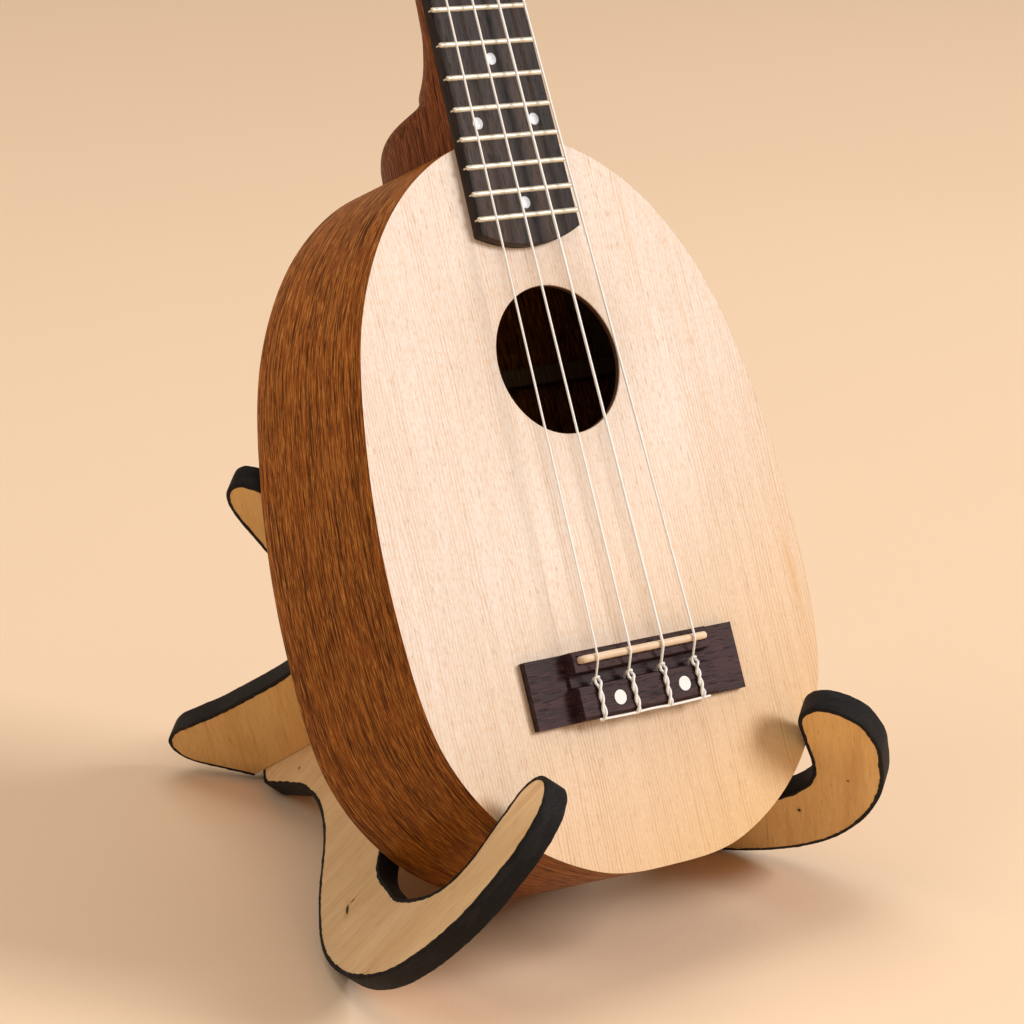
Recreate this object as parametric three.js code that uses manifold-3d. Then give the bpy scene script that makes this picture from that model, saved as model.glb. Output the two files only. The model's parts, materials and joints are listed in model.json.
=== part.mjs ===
// Soprano pineapple ukulele leaning in a stand of two half-lapped plywood plates.
// Millimetres, +Z up. The stand is symmetric about the YZ plane and its front faces -Y.
// The ukulele is built flat in its own frame and then leaned into the stand:
// x to the right, y up the neck, z out of the soundboard, y = 0 at the end of the scale.
import * as THREE from 'three';
import { mergeVertices } from 'three/addons/utils/BufferGeometryUtils.js';
import Module from 'manifold-3d';

const wasm = await Module();
wasm.setup();

// ---------------------------------------------------------------- driving dimensions
const GAP = 0.25;                 // clearance between two pieces that rest on each other

const SCALE = 346;                // nut to theoretical end of the scale
const FRETS = 15;
const NUT_HALF_WIDTH = 17.5;
const NUT_LENGTH = 4;
const BOARD_FLARE = 0.0185;       // growth of the board's half-width per millimetre
const BOARD_THICK = 4.2;
const BOARD_TOP = GAP + BOARD_THICK;
const BOARD_END = 135.2;          // lowest point of the curved end over the soundboard
const BOARD_END_RISE = 5;
const FRET_CROWN = 1;
const FRET_CROWN_HALF = 1.1;
const FRET_TANG_HALF = 0.28;
const FRET_TANG_DEPTH = 1.6;
const FRET_SLOT_HALF = 0.5;
const FRET_SLOT_DEPTH = 2;

const STRING_X_NUT = 9;           // string spacing at the nut
const STRING_X_SADDLE = 14.07;    // string spacing at the saddle
const STRING_RADII = [0.38, 0.42, 0.5, 0.42];
const NUT_STRING_Z = 6.6;
const SADDLE_STRING_Z = 12.2;

const BODY_HALF = [
  [0, -76.5], [30, -73.6], [61, -56], [81.5, -26], [87.6, 22], [84, 76], [73, 120],
  [52.5, 151.5], [27, 169], [0, 174],
];
const BODY_STEPS = 72;
const TAIL_Y = -76.5;
const HEEL_Y = 174;
const TAIL_DEPTH = 70;
const HEEL_DEPTH = 61.5;
const TOP_THICK = 2;
const BACK_THICK = 2.4;
const SIDE_THICK = 2.2;
const LINING_WIDTH = 5;
const LINING_HEIGHT = 9;
const BRACE_WIDTH = 6;
const BRACE_HEIGHT = 9;
const BRACE_CLEARANCE = 0.5;
const TOP_BRACES = [['top_brace_upper', 131], ['top_brace_lower', 60]];
const BACK_BRACES = [['back_brace_upper', 100], ['back_brace_lower', 5]];
const HOLE_SPOT = [2, 96.3];
const HOLE_R = 25.6;

const BRIDGE_X = 0.8;              // the bridge sits this far to the right of the middle
const BRIDGE_HALF = 45;
const BRIDGE_FRONT = -1.5;
const BRIDGE_BACK = -24.3;
const BRIDGE_BLOCK_HALF = 29.3;
const BRIDGE_CHAMFER = 1;
const WING_HEIGHT = 2.9;
const RIDGE_HEIGHT = 8.4;
const RIDGE_BACK = -8.4;
const CHANNEL_FRONT = -9.2;       // the channel between the saddle's ridge and the tie block
const CHANNEL_Z = 4.2;
const TIE_HEIGHT = 8;
const TIE_FRONT = -13.4;
const TIE_SLOPE = 0.6;
const TIE_HOLE_Z = 5.4;
const TIE_HOLE_R = 0.95;
const SADDLE_Y = -4.6;
const SADDLE_HALF_LENGTH = 27.6;
const SADDLE_HALF_THICK = 1.25;
const SADDLE_SLOT_FLOOR = 4.5;
const SCREW_SPOTS = [[-12.3, -19], [15.8, -19]];
const SCREW_HEAD_R = 2.5;
const SCREW_HEAD_DEPTH = 2.7;
const SCREW_SHANK_R = 1.2;

const HEAD_ANGLE = THREE.MathUtils.degToRad(8);
const HEAD_THICK = 11;
const HEAD_FLARE = [[18, 8], [23, 17], [28, 28], [29, 50], [29.5, 80], [31, 108]];
const HEAD_CROWN = [[24, 117], [12, 121], [0, 125], [-12, 121], [-24, 117], [-31, 108]];
// distance up the neck, depth below the fretboard, fullness of the section: 1 is an ellipse
// and less is squarer
const NECK_STATIONS = [
  [166, 61, 0.78], [174, 61.2, 0.78], [180, 60, 0.78], [185, 56.1, 0.78], [188.5, 47.6, 0.79],
  [191, 28.8, 0.81], [194.5, 26.4, 0.85], [200, 21.1, 0.91], [206, 17.6, 0.96], [213, 14.9, 1],
  [223, 13.6, 1], [245, 13.3, 1], [300, 13.2, 1], [349, 13.4, 1],
];

const POSTS = [[-17, 40], [-17, 86], [17, 86], [17, 40]];
const TUNERS = ['left_lower', 'left_upper', 'right_upper', 'right_lower'];
const POST_BORE_R = 4;
const POST_R = 2.6;
const POST_TOP = 8.5;
const WRAP_Z = 5;                 // height of the string's windings on the post
const EYE_Z = 6.2;
const BASE_TOP = -HEAD_THICK - GAP;
const BASE_THICK = 1;
const BASE_BOTTOM = BASE_TOP - BASE_THICK;
const BASE_HALF_WIDTH = 7.4;
const BASE_SCREW_SPOTS = [[-4.4, -6.4], [4.4, -6.4]];
const GEAR_TEETH = 14;
const COG_R = 5;
const COG_ROOT_R = 3.9;
const COG_TOP = BASE_BOTTOM - 0.6;
const COG_THICK = 3;
const WORM_R = 1.9;
const WORM_ROOT_R = 1.4;
const WORM_PITCH = 1.7;
const WORM_Y = COG_R + WORM_R + 0.4;
const WORM_Z = COG_TOP - COG_THICK / 2;
const SHAFT_R = 1.25;
const SHAFT_CLEARANCE = 0.3;
const COLLAR_R = 1.8;
const EAR_X = 5.4;
const EAR_HALF = 0.55;
const BUTTON_X = 17;
const BUTTON_CORE = 3;
const BUTTON_BEVEL = 1.2;

const PLATE_THICK = 8;
const PLATE_CURVE_STEPS = 5;
const STRIP_THICK = 0.95;
const CROSS_HALF = THREE.MathUtils.degToRad(45);   // each plate leans this far from upright
const AXIS_RISE = THREE.MathUtils.degToRad(32.9);  // slope of the line where the plates cross
const CROSS_POINT = [-1.34, 7.59, 17.06];          // on that line, from the scale's end
const LAP_MIDDLE = -148;          // end of both slots along the crossing line
const LEAN = THREE.MathUtils.degToRad(25.8);       // the neck's lean back from upright
const SEAT_ROLL = THREE.MathUtils.degToRad(3.4);   // the ukulele's sideways lean in the hooks
const SEAT_YAW = THREE.MathUtils.degToRad(-1);
const FOOT_FLAT = 0.6;            // rubber pressed flat where the strips meet the floor

// ---------------------------------------------------------------- materials
function paint(color, roughness, metalness = 0) {
  return new THREE.MeshStandardMaterial({ color, roughness, metalness });
}
const SPRUCE = paint(0xe3bf8f, 0.55);
const MAHOGANY = paint(0x8a4b24, 0.5);
const ROSEWOOD = paint(0x2b211f, 0.55);
const BRIDGE_WOOD = paint(0x3a2426, 0.6);
const INNER_WOOD = paint(0xb98a5b, 0.8);
const PLYWOOD = paint(0xdcb77b, 0.7);
const RUBBER = paint(0x17161a, 0.9);
const BONE = paint(0xe6cfa4, 0.45);
const PEARL = paint(0xd9dde0, 0.3);
const NYLON = paint(0xf1f1ee, 0.35);
const BRASS = paint(0xcbb684, 0.35, 0.9);
const CHROME = paint(0xc8cacc, 0.25, 1);
const BUTTON = paint(0xefece2, 0.35);

// ---------------------------------------------------------------- solids
function toSolid(geometry) {
  const bare = geometry.clone();
  bare.deleteAttribute('normal');
  bare.deleteAttribute('uv');
  const merged = mergeVertices(bare, 1e-4);
  const vertProperties = new Float32Array(merged.attributes.position.array);
  const triVerts = new Uint32Array(merged.index.array);
  return new wasm.Manifold(new wasm.Mesh({ numProp: 3, vertProperties, triVerts }));
}

function toGeometry(solid) {
  const mesh = solid.getMesh();
  const geometry = new THREE.BufferGeometry();
  geometry.setAttribute('position', new THREE.BufferAttribute(mesh.vertProperties, 3));
  geometry.setIndex(new THREE.BufferAttribute(mesh.triVerts, 1));
  return geometry;
}

function join(...geometries) {
  return toGeometry(geometries.map(toSolid).reduce((a, b) => a.add(b)));
}

function cut(geometry, ...tools) {
  return toGeometry(tools.map(toSolid).reduce((a, b) => a.subtract(b), toSolid(geometry)));
}

function common(a, b) {
  return toGeometry(toSolid(a).intersect(toSolid(b)));
}

function box(x0, x1, y0, y1, z0, z1) {
  const geometry = new THREE.BoxGeometry(x1 - x0, y1 - y0, z1 - z0);
  return geometry.translate((x0 + x1) / 2, (y0 + y1) / 2, (z0 + z1) / 2);
}

// a round bar along x, y or z, from one coordinate to another on that axis
function bar(axis, radius, from, to, centre, sides = 24) {
  const geometry = new THREE.CylinderGeometry(radius, radius, to - from, sides);
  if (axis === 'x') geometry.rotateZ(-Math.PI / 2);
  if (axis === 'z') geometry.rotateX(Math.PI / 2);
  const middle = (from + to) / 2;
  if (axis === 'x') return geometry.translate(middle, centre[0], centre[1]);
  if (axis === 'y') return geometry.translate(centre[0], middle, centre[1]);
  return geometry.translate(centre[0], centre[1], middle);
}

// a body turned about its z axis; the profile lists [radius, z] from the axis back to it
function turned(profile, sides) {
  const points = profile.map(([r, z]) => new THREE.Vector2(r, z));
  return new THREE.LatheGeometry(points, sides).rotateX(Math.PI / 2);
}

// an upright wall round an outline, with its top and bottom heights given along y
function slab(outline, top, bottom) {
  const flat = THREE.ShapeUtils.triangulateShape(outline, []);
  const count = outline.length;
  const positions = [];
  for (const height of [top, bottom]) {
    for (const p of outline) positions.push(p.x, p.y, height(p.y));
  }
  const index = [];
  for (const [a, b, c] of flat) {
    index.push(a, b, c, a + count, c + count, b + count);
  }
  for (let i = 0; i < count; i += 1) {
    const j = (i + 1) % count;
    index.push(i, i + count, j, j, i + count, j + count);
  }
  const geometry = new THREE.BufferGeometry();
  geometry.setAttribute('position', new THREE.Float32BufferAttribute(positions, 3));
  geometry.setIndex(index);
  return geometry;
}

// the outline moved sideways by a distance, positive outwards on a counter-clockwise outline
function moved(outline, distance) {
  const count = outline.length;
  return outline.map((p, i) => {
    const along = outline[(i + 1) % count].clone().sub(outline[(i + count - 1) % count]).normalize();
    return new THREE.Vector2(p.x + along.y * distance, p.y - along.x * distance);
  });
}

const ukulele = new THREE.Group();
const stand = new THREE.Group();

function add(group, name, geometry, material) {
  const mesh = new THREE.Mesh(geometry, material);
  mesh.name = name;
  group.add(mesh);
  return mesh;
}

// ---------------------------------------------------------------- ukulele body
function bodyOutline() {
  const right = BODY_HALF.map(([x, y]) => new THREE.Vector3(x, y, 0));
  const left = BODY_HALF.slice(1, -1).reverse().map(([x, y]) => new THREE.Vector3(-x, y, 0));
  const rim = new THREE.CatmullRomCurve3([...right, ...left], true, 'centripetal');
  return rim.getSpacedPoints(BODY_STEPS).slice(0, -1).map((p) => new THREE.Vector2(p.x, p.y));
}
const RIM = bodyOutline();
const bodyDepth = (y) => TAIL_DEPTH + (HEEL_DEPTH - TAIL_DEPTH) * (y - TAIL_Y) / (HEEL_Y - TAIL_Y);
const level = (z) => () => z;
const aboveBack = (lift) => (y) => lift - bodyDepth(y);

function ring(outside, inside, top, bottom) {
  const overshoot = 1;
  const outer = slab(moved(RIM, -outside), top, bottom);
  const upper = (y) => top(y) + overshoot;
  const lower = (y) => bottom(y) - overshoot;
  return cut(outer, slab(moved(RIM, -inside), upper, lower));
}

const FAR = 400;
const RIGHT_HALF = box(GAP / 2, FAR, -FAR, FAR, -FAR, FAR);
const LEFT_HALF = box(-FAR, -GAP / 2, -FAR, FAR, -FAR, FAR);
const NECK_BLOCK_BOX = box(-26, 26, 146, 200, -FAR, FAR);
const TAIL_BLOCK_BOX = box(-22, 22, -100, -64, -FAR, FAR);

function buildBody() {
  const hole = bar('z', HOLE_R, -10, 10, HOLE_SPOT, 64);
  add(ukulele, 'soundboard', cut(slab(RIM, level(0), level(-TOP_THICK)), hole), SPRUCE);
  add(ukulele, 'back_panel', slab(RIM, aboveBack(BACK_THICK), aboveBack(0)), MAHOGANY);

  const underTop = level(-TOP_THICK - GAP);
  const overBack = aboveBack(BACK_THICK + GAP);
  const sides = ring(0, SIDE_THICK, underTop, overBack);
  add(ukulele, 'side_right', common(sides, RIGHT_HALF), MAHOGANY);
  add(ukulele, 'side_left', common(sides, LEFT_HALF), MAHOGANY);

  const inset = SIDE_THICK + GAP;
  const inside = slab(moved(RIM, -inset), underTop, overBack);
  add(ukulele, 'neck_block', common(inside, NECK_BLOCK_BOX), INNER_WOOD);
  add(ukulele, 'tail_block', common(inside, TAIL_BLOCK_BOX), INNER_WOOD);

  const blocks = [box(-27, 27, 145, 200, -FAR, FAR), box(-23, 23, -100, -63, -FAR, FAR)];
  const topBottom = level(-TOP_THICK - GAP - LINING_HEIGHT);
  const backTop = aboveBack(BACK_THICK + GAP + LINING_HEIGHT);
  const linings = {
    top: cut(ring(inset, inset + LINING_WIDTH, underTop, topBottom), ...blocks),
    back: cut(ring(inset, inset + LINING_WIDTH, backTop, overBack), ...blocks),
  };
  for (const [where, lining] of Object.entries(linings)) {
    add(ukulele, `${where}_lining_right`, common(lining, RIGHT_HALF), INNER_WOOD);
    add(ukulele, `${where}_lining_left`, common(lining, LEFT_HALF), INNER_WOOD);
  }
}

function buildBraces() {
  const inset = SIDE_THICK + LINING_WIDTH + 2 * GAP + BRACE_CLEARANCE;
  const clear = slab(moved(RIM, -inset), level(FAR), level(-FAR));
  const beam = (y, bottom, top) => {
    return box(-FAR, FAR, y - BRACE_WIDTH / 2, y + BRACE_WIDTH / 2, bottom, top);
  };
  const underTop = -TOP_THICK - GAP;
  for (const [name, y] of TOP_BRACES) {
    const brace = common(beam(y, underTop - BRACE_HEIGHT, underTop), clear);
    add(ukulele, name, brace, INNER_WOOD);
  }
  const backTop = aboveBack(BACK_THICK + GAP + BRACE_HEIGHT);
  const layer = slab(moved(RIM, -1), backTop, aboveBack(BACK_THICK + GAP));
  for (const [name, y] of BACK_BRACES) {
    const brace = common(common(layer, beam(y, -FAR, FAR)), clear);
    add(ukulele, name, brace, INNER_WOOD);
  }
}

// ---------------------------------------------------------------- neck and fretboard
const fretY = (n) => SCALE * 2 ** (-n / 12);
const boardHalf = (y) => NUT_HALF_WIDTH + BOARD_FLARE * (SCALE - y);

// one cross-section of the neck: flat on top, a rounded belly below
function neckSection(y, depth, fullness) {
  const steps = 14;
  const points = [];
  for (let i = 0; i <= steps; i += 1) {
    const angle = Math.PI * i / steps;
    const across = Math.sign(Math.cos(angle)) * Math.abs(Math.cos(angle)) ** fullness;
    points.push([boardHalf(y) * across, y, -depth * Math.sin(angle) ** fullness]);
  }
  return points;
}

function loft(sections) {
  const size = sections[0].length;
  const positions = sections.flat(2);
  const index = [];
  for (let s = 0; s < sections.length - 1; s += 1) {
    for (let i = 0; i < size; i += 1) {
      const j = (i + 1) % size;
      const a = s * size + i;
      const b = s * size + j;
      index.push(a, b, a + size, b, b + size, a + size);
    }
  }
  const last = (sections.length - 1) * size;
  for (let i = 1; i < size - 1; i += 1) {
    index.push(0, i + 1, i, last, last + i, last + i + 1);
  }
  const geometry = new THREE.BufferGeometry();
  geometry.setAttribute('position', new THREE.Float32BufferAttribute(positions, 3));
  geometry.setIndex(index);
  return geometry;
}

function headstockOutline() {
  const shape = new THREE.Shape();
  shape.moveTo(-NUT_HALF_WIDTH, 0);
  shape.lineTo(NUT_HALF_WIDTH, 0);
  shape.splineThru(HEAD_FLARE.map(([x, y]) => new THREE.Vector2(x, y)));
  shape.splineThru(HEAD_CROWN.map(([x, y]) => new THREE.Vector2(x, y)));
  const back = [...HEAD_FLARE].reverse().slice(1);
  shape.splineThru(back.map(([x, y]) => new THREE.Vector2(-x, y)));
  shape.closePath();
  return shape;
}

// moves a geometry from the headstock's own frame, whose origin is at the nut, to the neck's
function onHead(geometry) {
  return geometry.rotateX(-HEAD_ANGLE).translate(0, SCALE, 0);
}

function buildNeck() {
  const shaft = loft(NECK_STATIONS.map((station) => neckSection(...station)));
  const head = new THREE.ExtrudeGeometry(headstockOutline(), {
    depth: HEAD_THICK, bevelEnabled: false, curveSegments: 3,
  }).translate(0, 0, -HEAD_THICK);
  const bores = POSTS.map((spot) => bar('z', POST_BORE_R, -20, 10, spot, 16));
  const drilled = onHead(cut(head, ...bores));
  const bodySpace = slab(moved(RIM, GAP), level(FAR), level(-FAR));
  add(ukulele, 'neck', join(cut(shaft, bodySpace), drilled), MAHOGANY);
}

function boardOutline() {
  const corner = BOARD_END + BOARD_END_RISE;
  const half = boardHalf(corner);
  const radius = (half * half + BOARD_END_RISE * BOARD_END_RISE) / (2 * BOARD_END_RISE);
  const spread = Math.asin(half / radius);
  const shape = new THREE.Shape();
  shape.moveTo(NUT_HALF_WIDTH, SCALE - GAP);
  shape.lineTo(-NUT_HALF_WIDTH, SCALE - GAP);
  shape.lineTo(-half, corner);
  shape.absarc(0, BOARD_END + radius, radius, -Math.PI / 2 - spread, -Math.PI / 2 + spread, false);
  shape.closePath();
  return shape;
}

function buildFretboard() {
  const blank = new THREE.ExtrudeGeometry(boardOutline(), {
    depth: BOARD_THICK, bevelEnabled: false, curveSegments: 14,
  }).translate(0, 0, GAP);
  const slots = [];
  for (let n = 1; n <= FRETS; n += 1) {
    const y = fretY(n);
    const floor = BOARD_TOP - FRET_SLOT_DEPTH;
    slots.push(box(-FAR, FAR, y - FRET_SLOT_HALF, y + FRET_SLOT_HALF, floor, BOARD_TOP + 1));
  }
  add(ukulele, 'fretboard', cut(blank, ...slots), ROSEWOOD);
  for (let n = 1; n <= FRETS; n += 1) {
    add(ukulele, `fret_${String(n).padStart(2, '0')}`, fretWire(n), BRASS);
  }
}

// a fret wire: a rounded crown on the board with its tang down in the slot
function fretWire(n) {
  const seat = GAP / 2;
  const shape = new THREE.Shape();
  shape.moveTo(-FRET_TANG_HALF, -FRET_TANG_DEPTH);
  shape.lineTo(FRET_TANG_HALF, -FRET_TANG_DEPTH);
  shape.lineTo(FRET_TANG_HALF, seat);
  shape.lineTo(FRET_CROWN_HALF, seat);
  shape.absellipse(0, seat, FRET_CROWN_HALF, FRET_CROWN - seat, 0, Math.PI, false);
  shape.lineTo(-FRET_TANG_HALF, seat);
  shape.closePath();
  const length = 2 * boardHalf(fretY(n));
  const wire = new THREE.ExtrudeGeometry(shape, {
    depth: length, bevelEnabled: false, curveSegments: 8,
  });
  wire.rotateY(Math.PI / 2).rotateX(Math.PI / 2);
  return wire.translate(-length / 2, fretY(n), BOARD_TOP);
}

function buildNut() {
  const top = NUT_STRING_Z + 0.5;
  const blank = box(-NUT_HALF_WIDTH, NUT_HALF_WIDTH, SCALE, SCALE + NUT_LENGTH, GAP, top);
  const grooves = STRING_RADII.map((stringRadius, i) => {
    const x = stringX(i, STRING_X_NUT);
    const radius = stringRadius + GAP;
    return box(x - radius, x + radius, SCALE - 1, SCALE + FAR, NUT_STRING_Z - radius, FAR);
  });
  add(ukulele, 'nut', cut(blank, ...grooves), BONE);
}

// ---------------------------------------------------------------- bridge and strings
const stringX = (i, spacing) => (i - 1.5) * spacing;

// the bridge's middle block from the side: the saddle's ridge, a channel and the tie block
function bridgeProfile() {
  const outline = [
    [BRIDGE_BACK, GAP], [BRIDGE_FRONT, GAP], [BRIDGE_FRONT, RIDGE_HEIGHT - BRIDGE_CHAMFER],
    [BRIDGE_FRONT - BRIDGE_CHAMFER, RIDGE_HEIGHT], [RIDGE_BACK, RIDGE_HEIGHT],
    [CHANNEL_FRONT, CHANNEL_Z], [TIE_FRONT + TIE_SLOPE, CHANNEL_Z], [TIE_FRONT, TIE_HEIGHT],
    [BRIDGE_BACK + BRIDGE_CHAMFER, TIE_HEIGHT], [BRIDGE_BACK, TIE_HEIGHT - BRIDGE_CHAMFER],
  ];
  return new THREE.Shape(outline.map(([y, z]) => new THREE.Vector2(y, z)));
}

function buildBridge() {
  const length = 2 * BRIDGE_BLOCK_HALF;
  const block = new THREE.ExtrudeGeometry(bridgeProfile(), { depth: length, bevelEnabled: false });
  block.rotateX(Math.PI / 2).rotateZ(Math.PI / 2).translate(BRIDGE_X - BRIDGE_BLOCK_HALF, 0, 0);
  const wingEnds = [BRIDGE_X - BRIDGE_HALF, BRIDGE_X + BRIDGE_HALF];
  const wings = box(...wingEnds, BRIDGE_BACK, BRIDGE_FRONT, GAP, WING_HEIGHT);

  const reach = SADDLE_HALF_LENGTH + GAP;
  const slotHalf = SADDLE_HALF_THICK + GAP;
  const slotSides = [BRIDGE_X - reach, BRIDGE_X + reach, SADDLE_Y - slotHalf, SADDLE_Y + slotHalf];
  const tieHoles = STRING_RADII.map((_, i) => {
    const spot = [stringX(i, STRING_X_SADDLE), TIE_HOLE_Z];
    return bar('y', TIE_HOLE_R, BRIDGE_BACK - 5, TIE_FRONT + 5, spot, 8);
  });
  const headFloor = TIE_HEIGHT - SCREW_HEAD_DEPTH;
  const screwHoles = SCREW_SPOTS.flatMap((spot) => [
    bar('z', SCREW_HEAD_R + GAP, headFloor - 0.3, FAR, spot, 16),
    bar('z', SCREW_SHANK_R + 0.3, -FAR, TIE_HEIGHT, spot, 12),
  ]);
  const bridge = cut(
    join(block, wings), box(...slotSides, SADDLE_SLOT_FLOOR, FAR), ...tieHoles, ...screwHoles,
  );
  add(ukulele, 'bridge', bridge, BRIDGE_WOOD);

  SCREW_SPOTS.forEach(([x, y], i) => {
    const screw = turned([
      [0, GAP], [SCREW_SHANK_R, GAP], [SCREW_SHANK_R, headFloor], [SCREW_HEAD_R, headFloor],
      [SCREW_HEAD_R, TIE_HEIGHT], [0, TIE_HEIGHT],
    ], 16).translate(x, y, 0);
    add(ukulele, `bridge_screw_${['left', 'right'][i]}`, screw, PEARL);
  });
}

function buildSaddle() {
  const shape = new THREE.Shape();
  const top = SADDLE_STRING_Z - Math.max(...STRING_RADII) - GAP - 0.1;
  const bottom = SADDLE_SLOT_FLOOR + GAP;
  const end = SADDLE_HALF_LENGTH;
  shape.moveTo(-end, bottom);
  shape.lineTo(end, bottom);
  shape.lineTo(end, top - 1.6);
  shape.quadraticCurveTo(end - 0.5, top - 0.2, end - 5, top);
  shape.lineTo(-end + 5, top);
  shape.quadraticCurveTo(-end + 0.5, top - 0.2, -end, top - 1.6);
  shape.closePath();
  const saddle = new THREE.ExtrudeGeometry(shape, {
    depth: 2 * SADDLE_HALF_THICK, bevelEnabled: false, curveSegments: 4,
  });
  saddle.rotateX(Math.PI / 2).translate(BRIDGE_X, SADDLE_Y + SADDLE_HALF_THICK, 0);
  add(ukulele, 'saddle', saddle, BONE);
}

// the point of a headstock-frame position in the neck's frame
function headPoint(x, y, z) {
  return new THREE.Vector3(x, y, z).applyAxisAngle(new THREE.Vector3(1, 0, 0), -HEAD_ANGLE)
    .add(new THREE.Vector3(0, SCALE, 0));
}

// a string runs from the tie block over the saddle and nut to the inner side of its post
function stringRoute(i) {
  const xSaddle = stringX(i, STRING_X_SADDLE);
  const xNut = stringX(i, STRING_X_NUT);
  const radius = STRING_RADII[i];
  const [postX, postY] = POSTS[i];
  const inward = -Math.sign(postX) * (POST_R + radius + GAP);
  return [
    new THREE.Vector3(xSaddle, BRIDGE_BACK + 2, TIE_HOLE_Z),
    new THREE.Vector3(xSaddle, TIE_FRONT + TIE_SLOPE, TIE_HOLE_Z),
    new THREE.Vector3(xSaddle, SADDLE_Y - 1.4, SADDLE_STRING_Z - 0.35),
    new THREE.Vector3(xSaddle, SADDLE_Y, SADDLE_STRING_Z),
    new THREE.Vector3(xSaddle, SADDLE_Y + 1.4, SADDLE_STRING_Z - 0.02),
    new THREE.Vector3(xNut, SCALE, NUT_STRING_Z),
    new THREE.Vector3(xNut, SCALE + NUT_LENGTH + 0.6, NUT_STRING_Z - 0.1),
    headPoint(postX + inward, postY, WRAP_Z),
  ];
}

function buildStrings() {
  STRING_RADII.forEach((radius, i) => {
    add(ukulele, `string_${i + 1}`, sweep(stringRoute(i), radius), NYLON);
  });
}

// a round wire through straight legs, mitred at each corner
function sweep(route, radius) {
  const sides = 8;
  const across = new THREE.Vector3(1, 0, 0);
  const rings = route.map((point, k) => {
    const before = point.clone().sub(route[Math.max(k - 1, 0)]).normalize();
    const after = route[Math.min(k + 1, route.length - 1)].clone().sub(point).normalize();
    const along = before.add(after).normalize();
    const up = along.clone().cross(across).normalize();
    const side = up.clone().cross(along);
    return Array.from({ length: sides }, (_, s) => {
      const angle = 2 * Math.PI * s / sides;
      const spoke = side.clone().multiplyScalar(radius * Math.cos(angle));
      return point.clone().add(spoke).addScaledVector(up, radius * Math.sin(angle)).toArray();
    });
  });
  return loft(rings);
}

// ---------------------------------------------------------------- tuning machines
// a toothed wheel's outline; each tooth lists its corners as a share of the pitch and a radius
function cogOutline() {
  const cogTooth = [
    [0, COG_ROOT_R], [0.3, COG_ROOT_R], [0.42, COG_R], [0.68, COG_R], [0.8, COG_ROOT_R],
  ];
  const shape = new THREE.Shape();
  for (let tooth = 0; tooth < GEAR_TEETH; tooth += 1) {
    const pitch = 2 * Math.PI / GEAR_TEETH;
    cogTooth.forEach(([part, r]) => {
      const angle = (tooth + part) * pitch;
      const x = r * Math.cos(angle);
      const y = r * Math.sin(angle);
      if (tooth === 0 && part === 0) shape.moveTo(x, y);
      else shape.lineTo(x, y);
    });
  }
  shape.closePath();
  return shape;
}

// the button: a flat oval paddle on the end of the worm's shaft
function buttonShape() {
  const shape = new THREE.Shape();
  shape.moveTo(0, -2.6);
  const rim = [
    [5, -5.6], [10, -7], [14.4, -4.6], [15.6, 0], [14.4, 4.6], [10, 7], [5, 5.6], [0, 2.6],
  ];
  shape.splineThru(rim.map(([along, across]) => new THREE.Vector2(along, across)));
  shape.closePath();
  return shape;
}

function buildTuner(i) {
  const [x, y] = POSTS[i];
  const out = Math.sign(x);
  const wormY = y + WORM_Y;
  const name = TUNERS[i];
  // a bar along the shaft, measured outwards from the post
  const shaftBar = (radius, from, to, sides) => {
    const ends = [x + out * from, x + out * to].sort((a, b) => a - b);
    return bar('x', radius, ends[0], ends[1], [wormY, WORM_Z], sides);
  };
  buildTunerBase(name, x, y, shaftBar);
  buildTunerKey(name, x + out * BUTTON_X, wormY, out, shaftBar);
  buildTunerPost(name, x, y);

  const inner = POST_R + 0.3;
  const bushing = turned([
    [inner, -4], [3.7, -4], [3.7, GAP], [5.2, GAP], [5.2, 0.8], [4.2, 1.3], [inner, 1.3],
    [inner, -4],
  ], 14).translate(x, y, 0);
  add(ukulele, `tuner_bushing_${name}`, onHead(bushing), CHROME);
}

// the base plate, with two ears that carry the shaft
function buildTunerBase(name, x, y, shaftBar) {
  const wormY = y + WORM_Y;
  const ear = (offset) => {
    const middle = x + offset;
    const across = [middle - EAR_HALF, middle + EAR_HALF, wormY - 2.8, wormY + 2.8];
    return box(...across, WORM_Z - 3, BASE_TOP - 0.5);
  };
  const sides = [x - BASE_HALF_WIDTH, x + BASE_HALF_WIDTH, y - 9, wormY + 3.4];
  const plate = box(...sides, BASE_BOTTOM, BASE_TOP);
  const holes = [
    bar('z', POST_R + 0.35, -30, 0, [x, y], 14),
    shaftBar(SHAFT_R + SHAFT_CLEARANCE, -9, 9, 12),
    ...BASE_SCREW_SPOTS.map(([dx, dy]) => bar('z', 1, -30, 0, [x + dx, y + dy], 10)),
  ];
  const base = cut(join(plate, ear(-EAR_X), ear(EAR_X)), ...holes);
  add(ukulele, `tuner_base_${name}`, onHead(base), CHROME);
}

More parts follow.
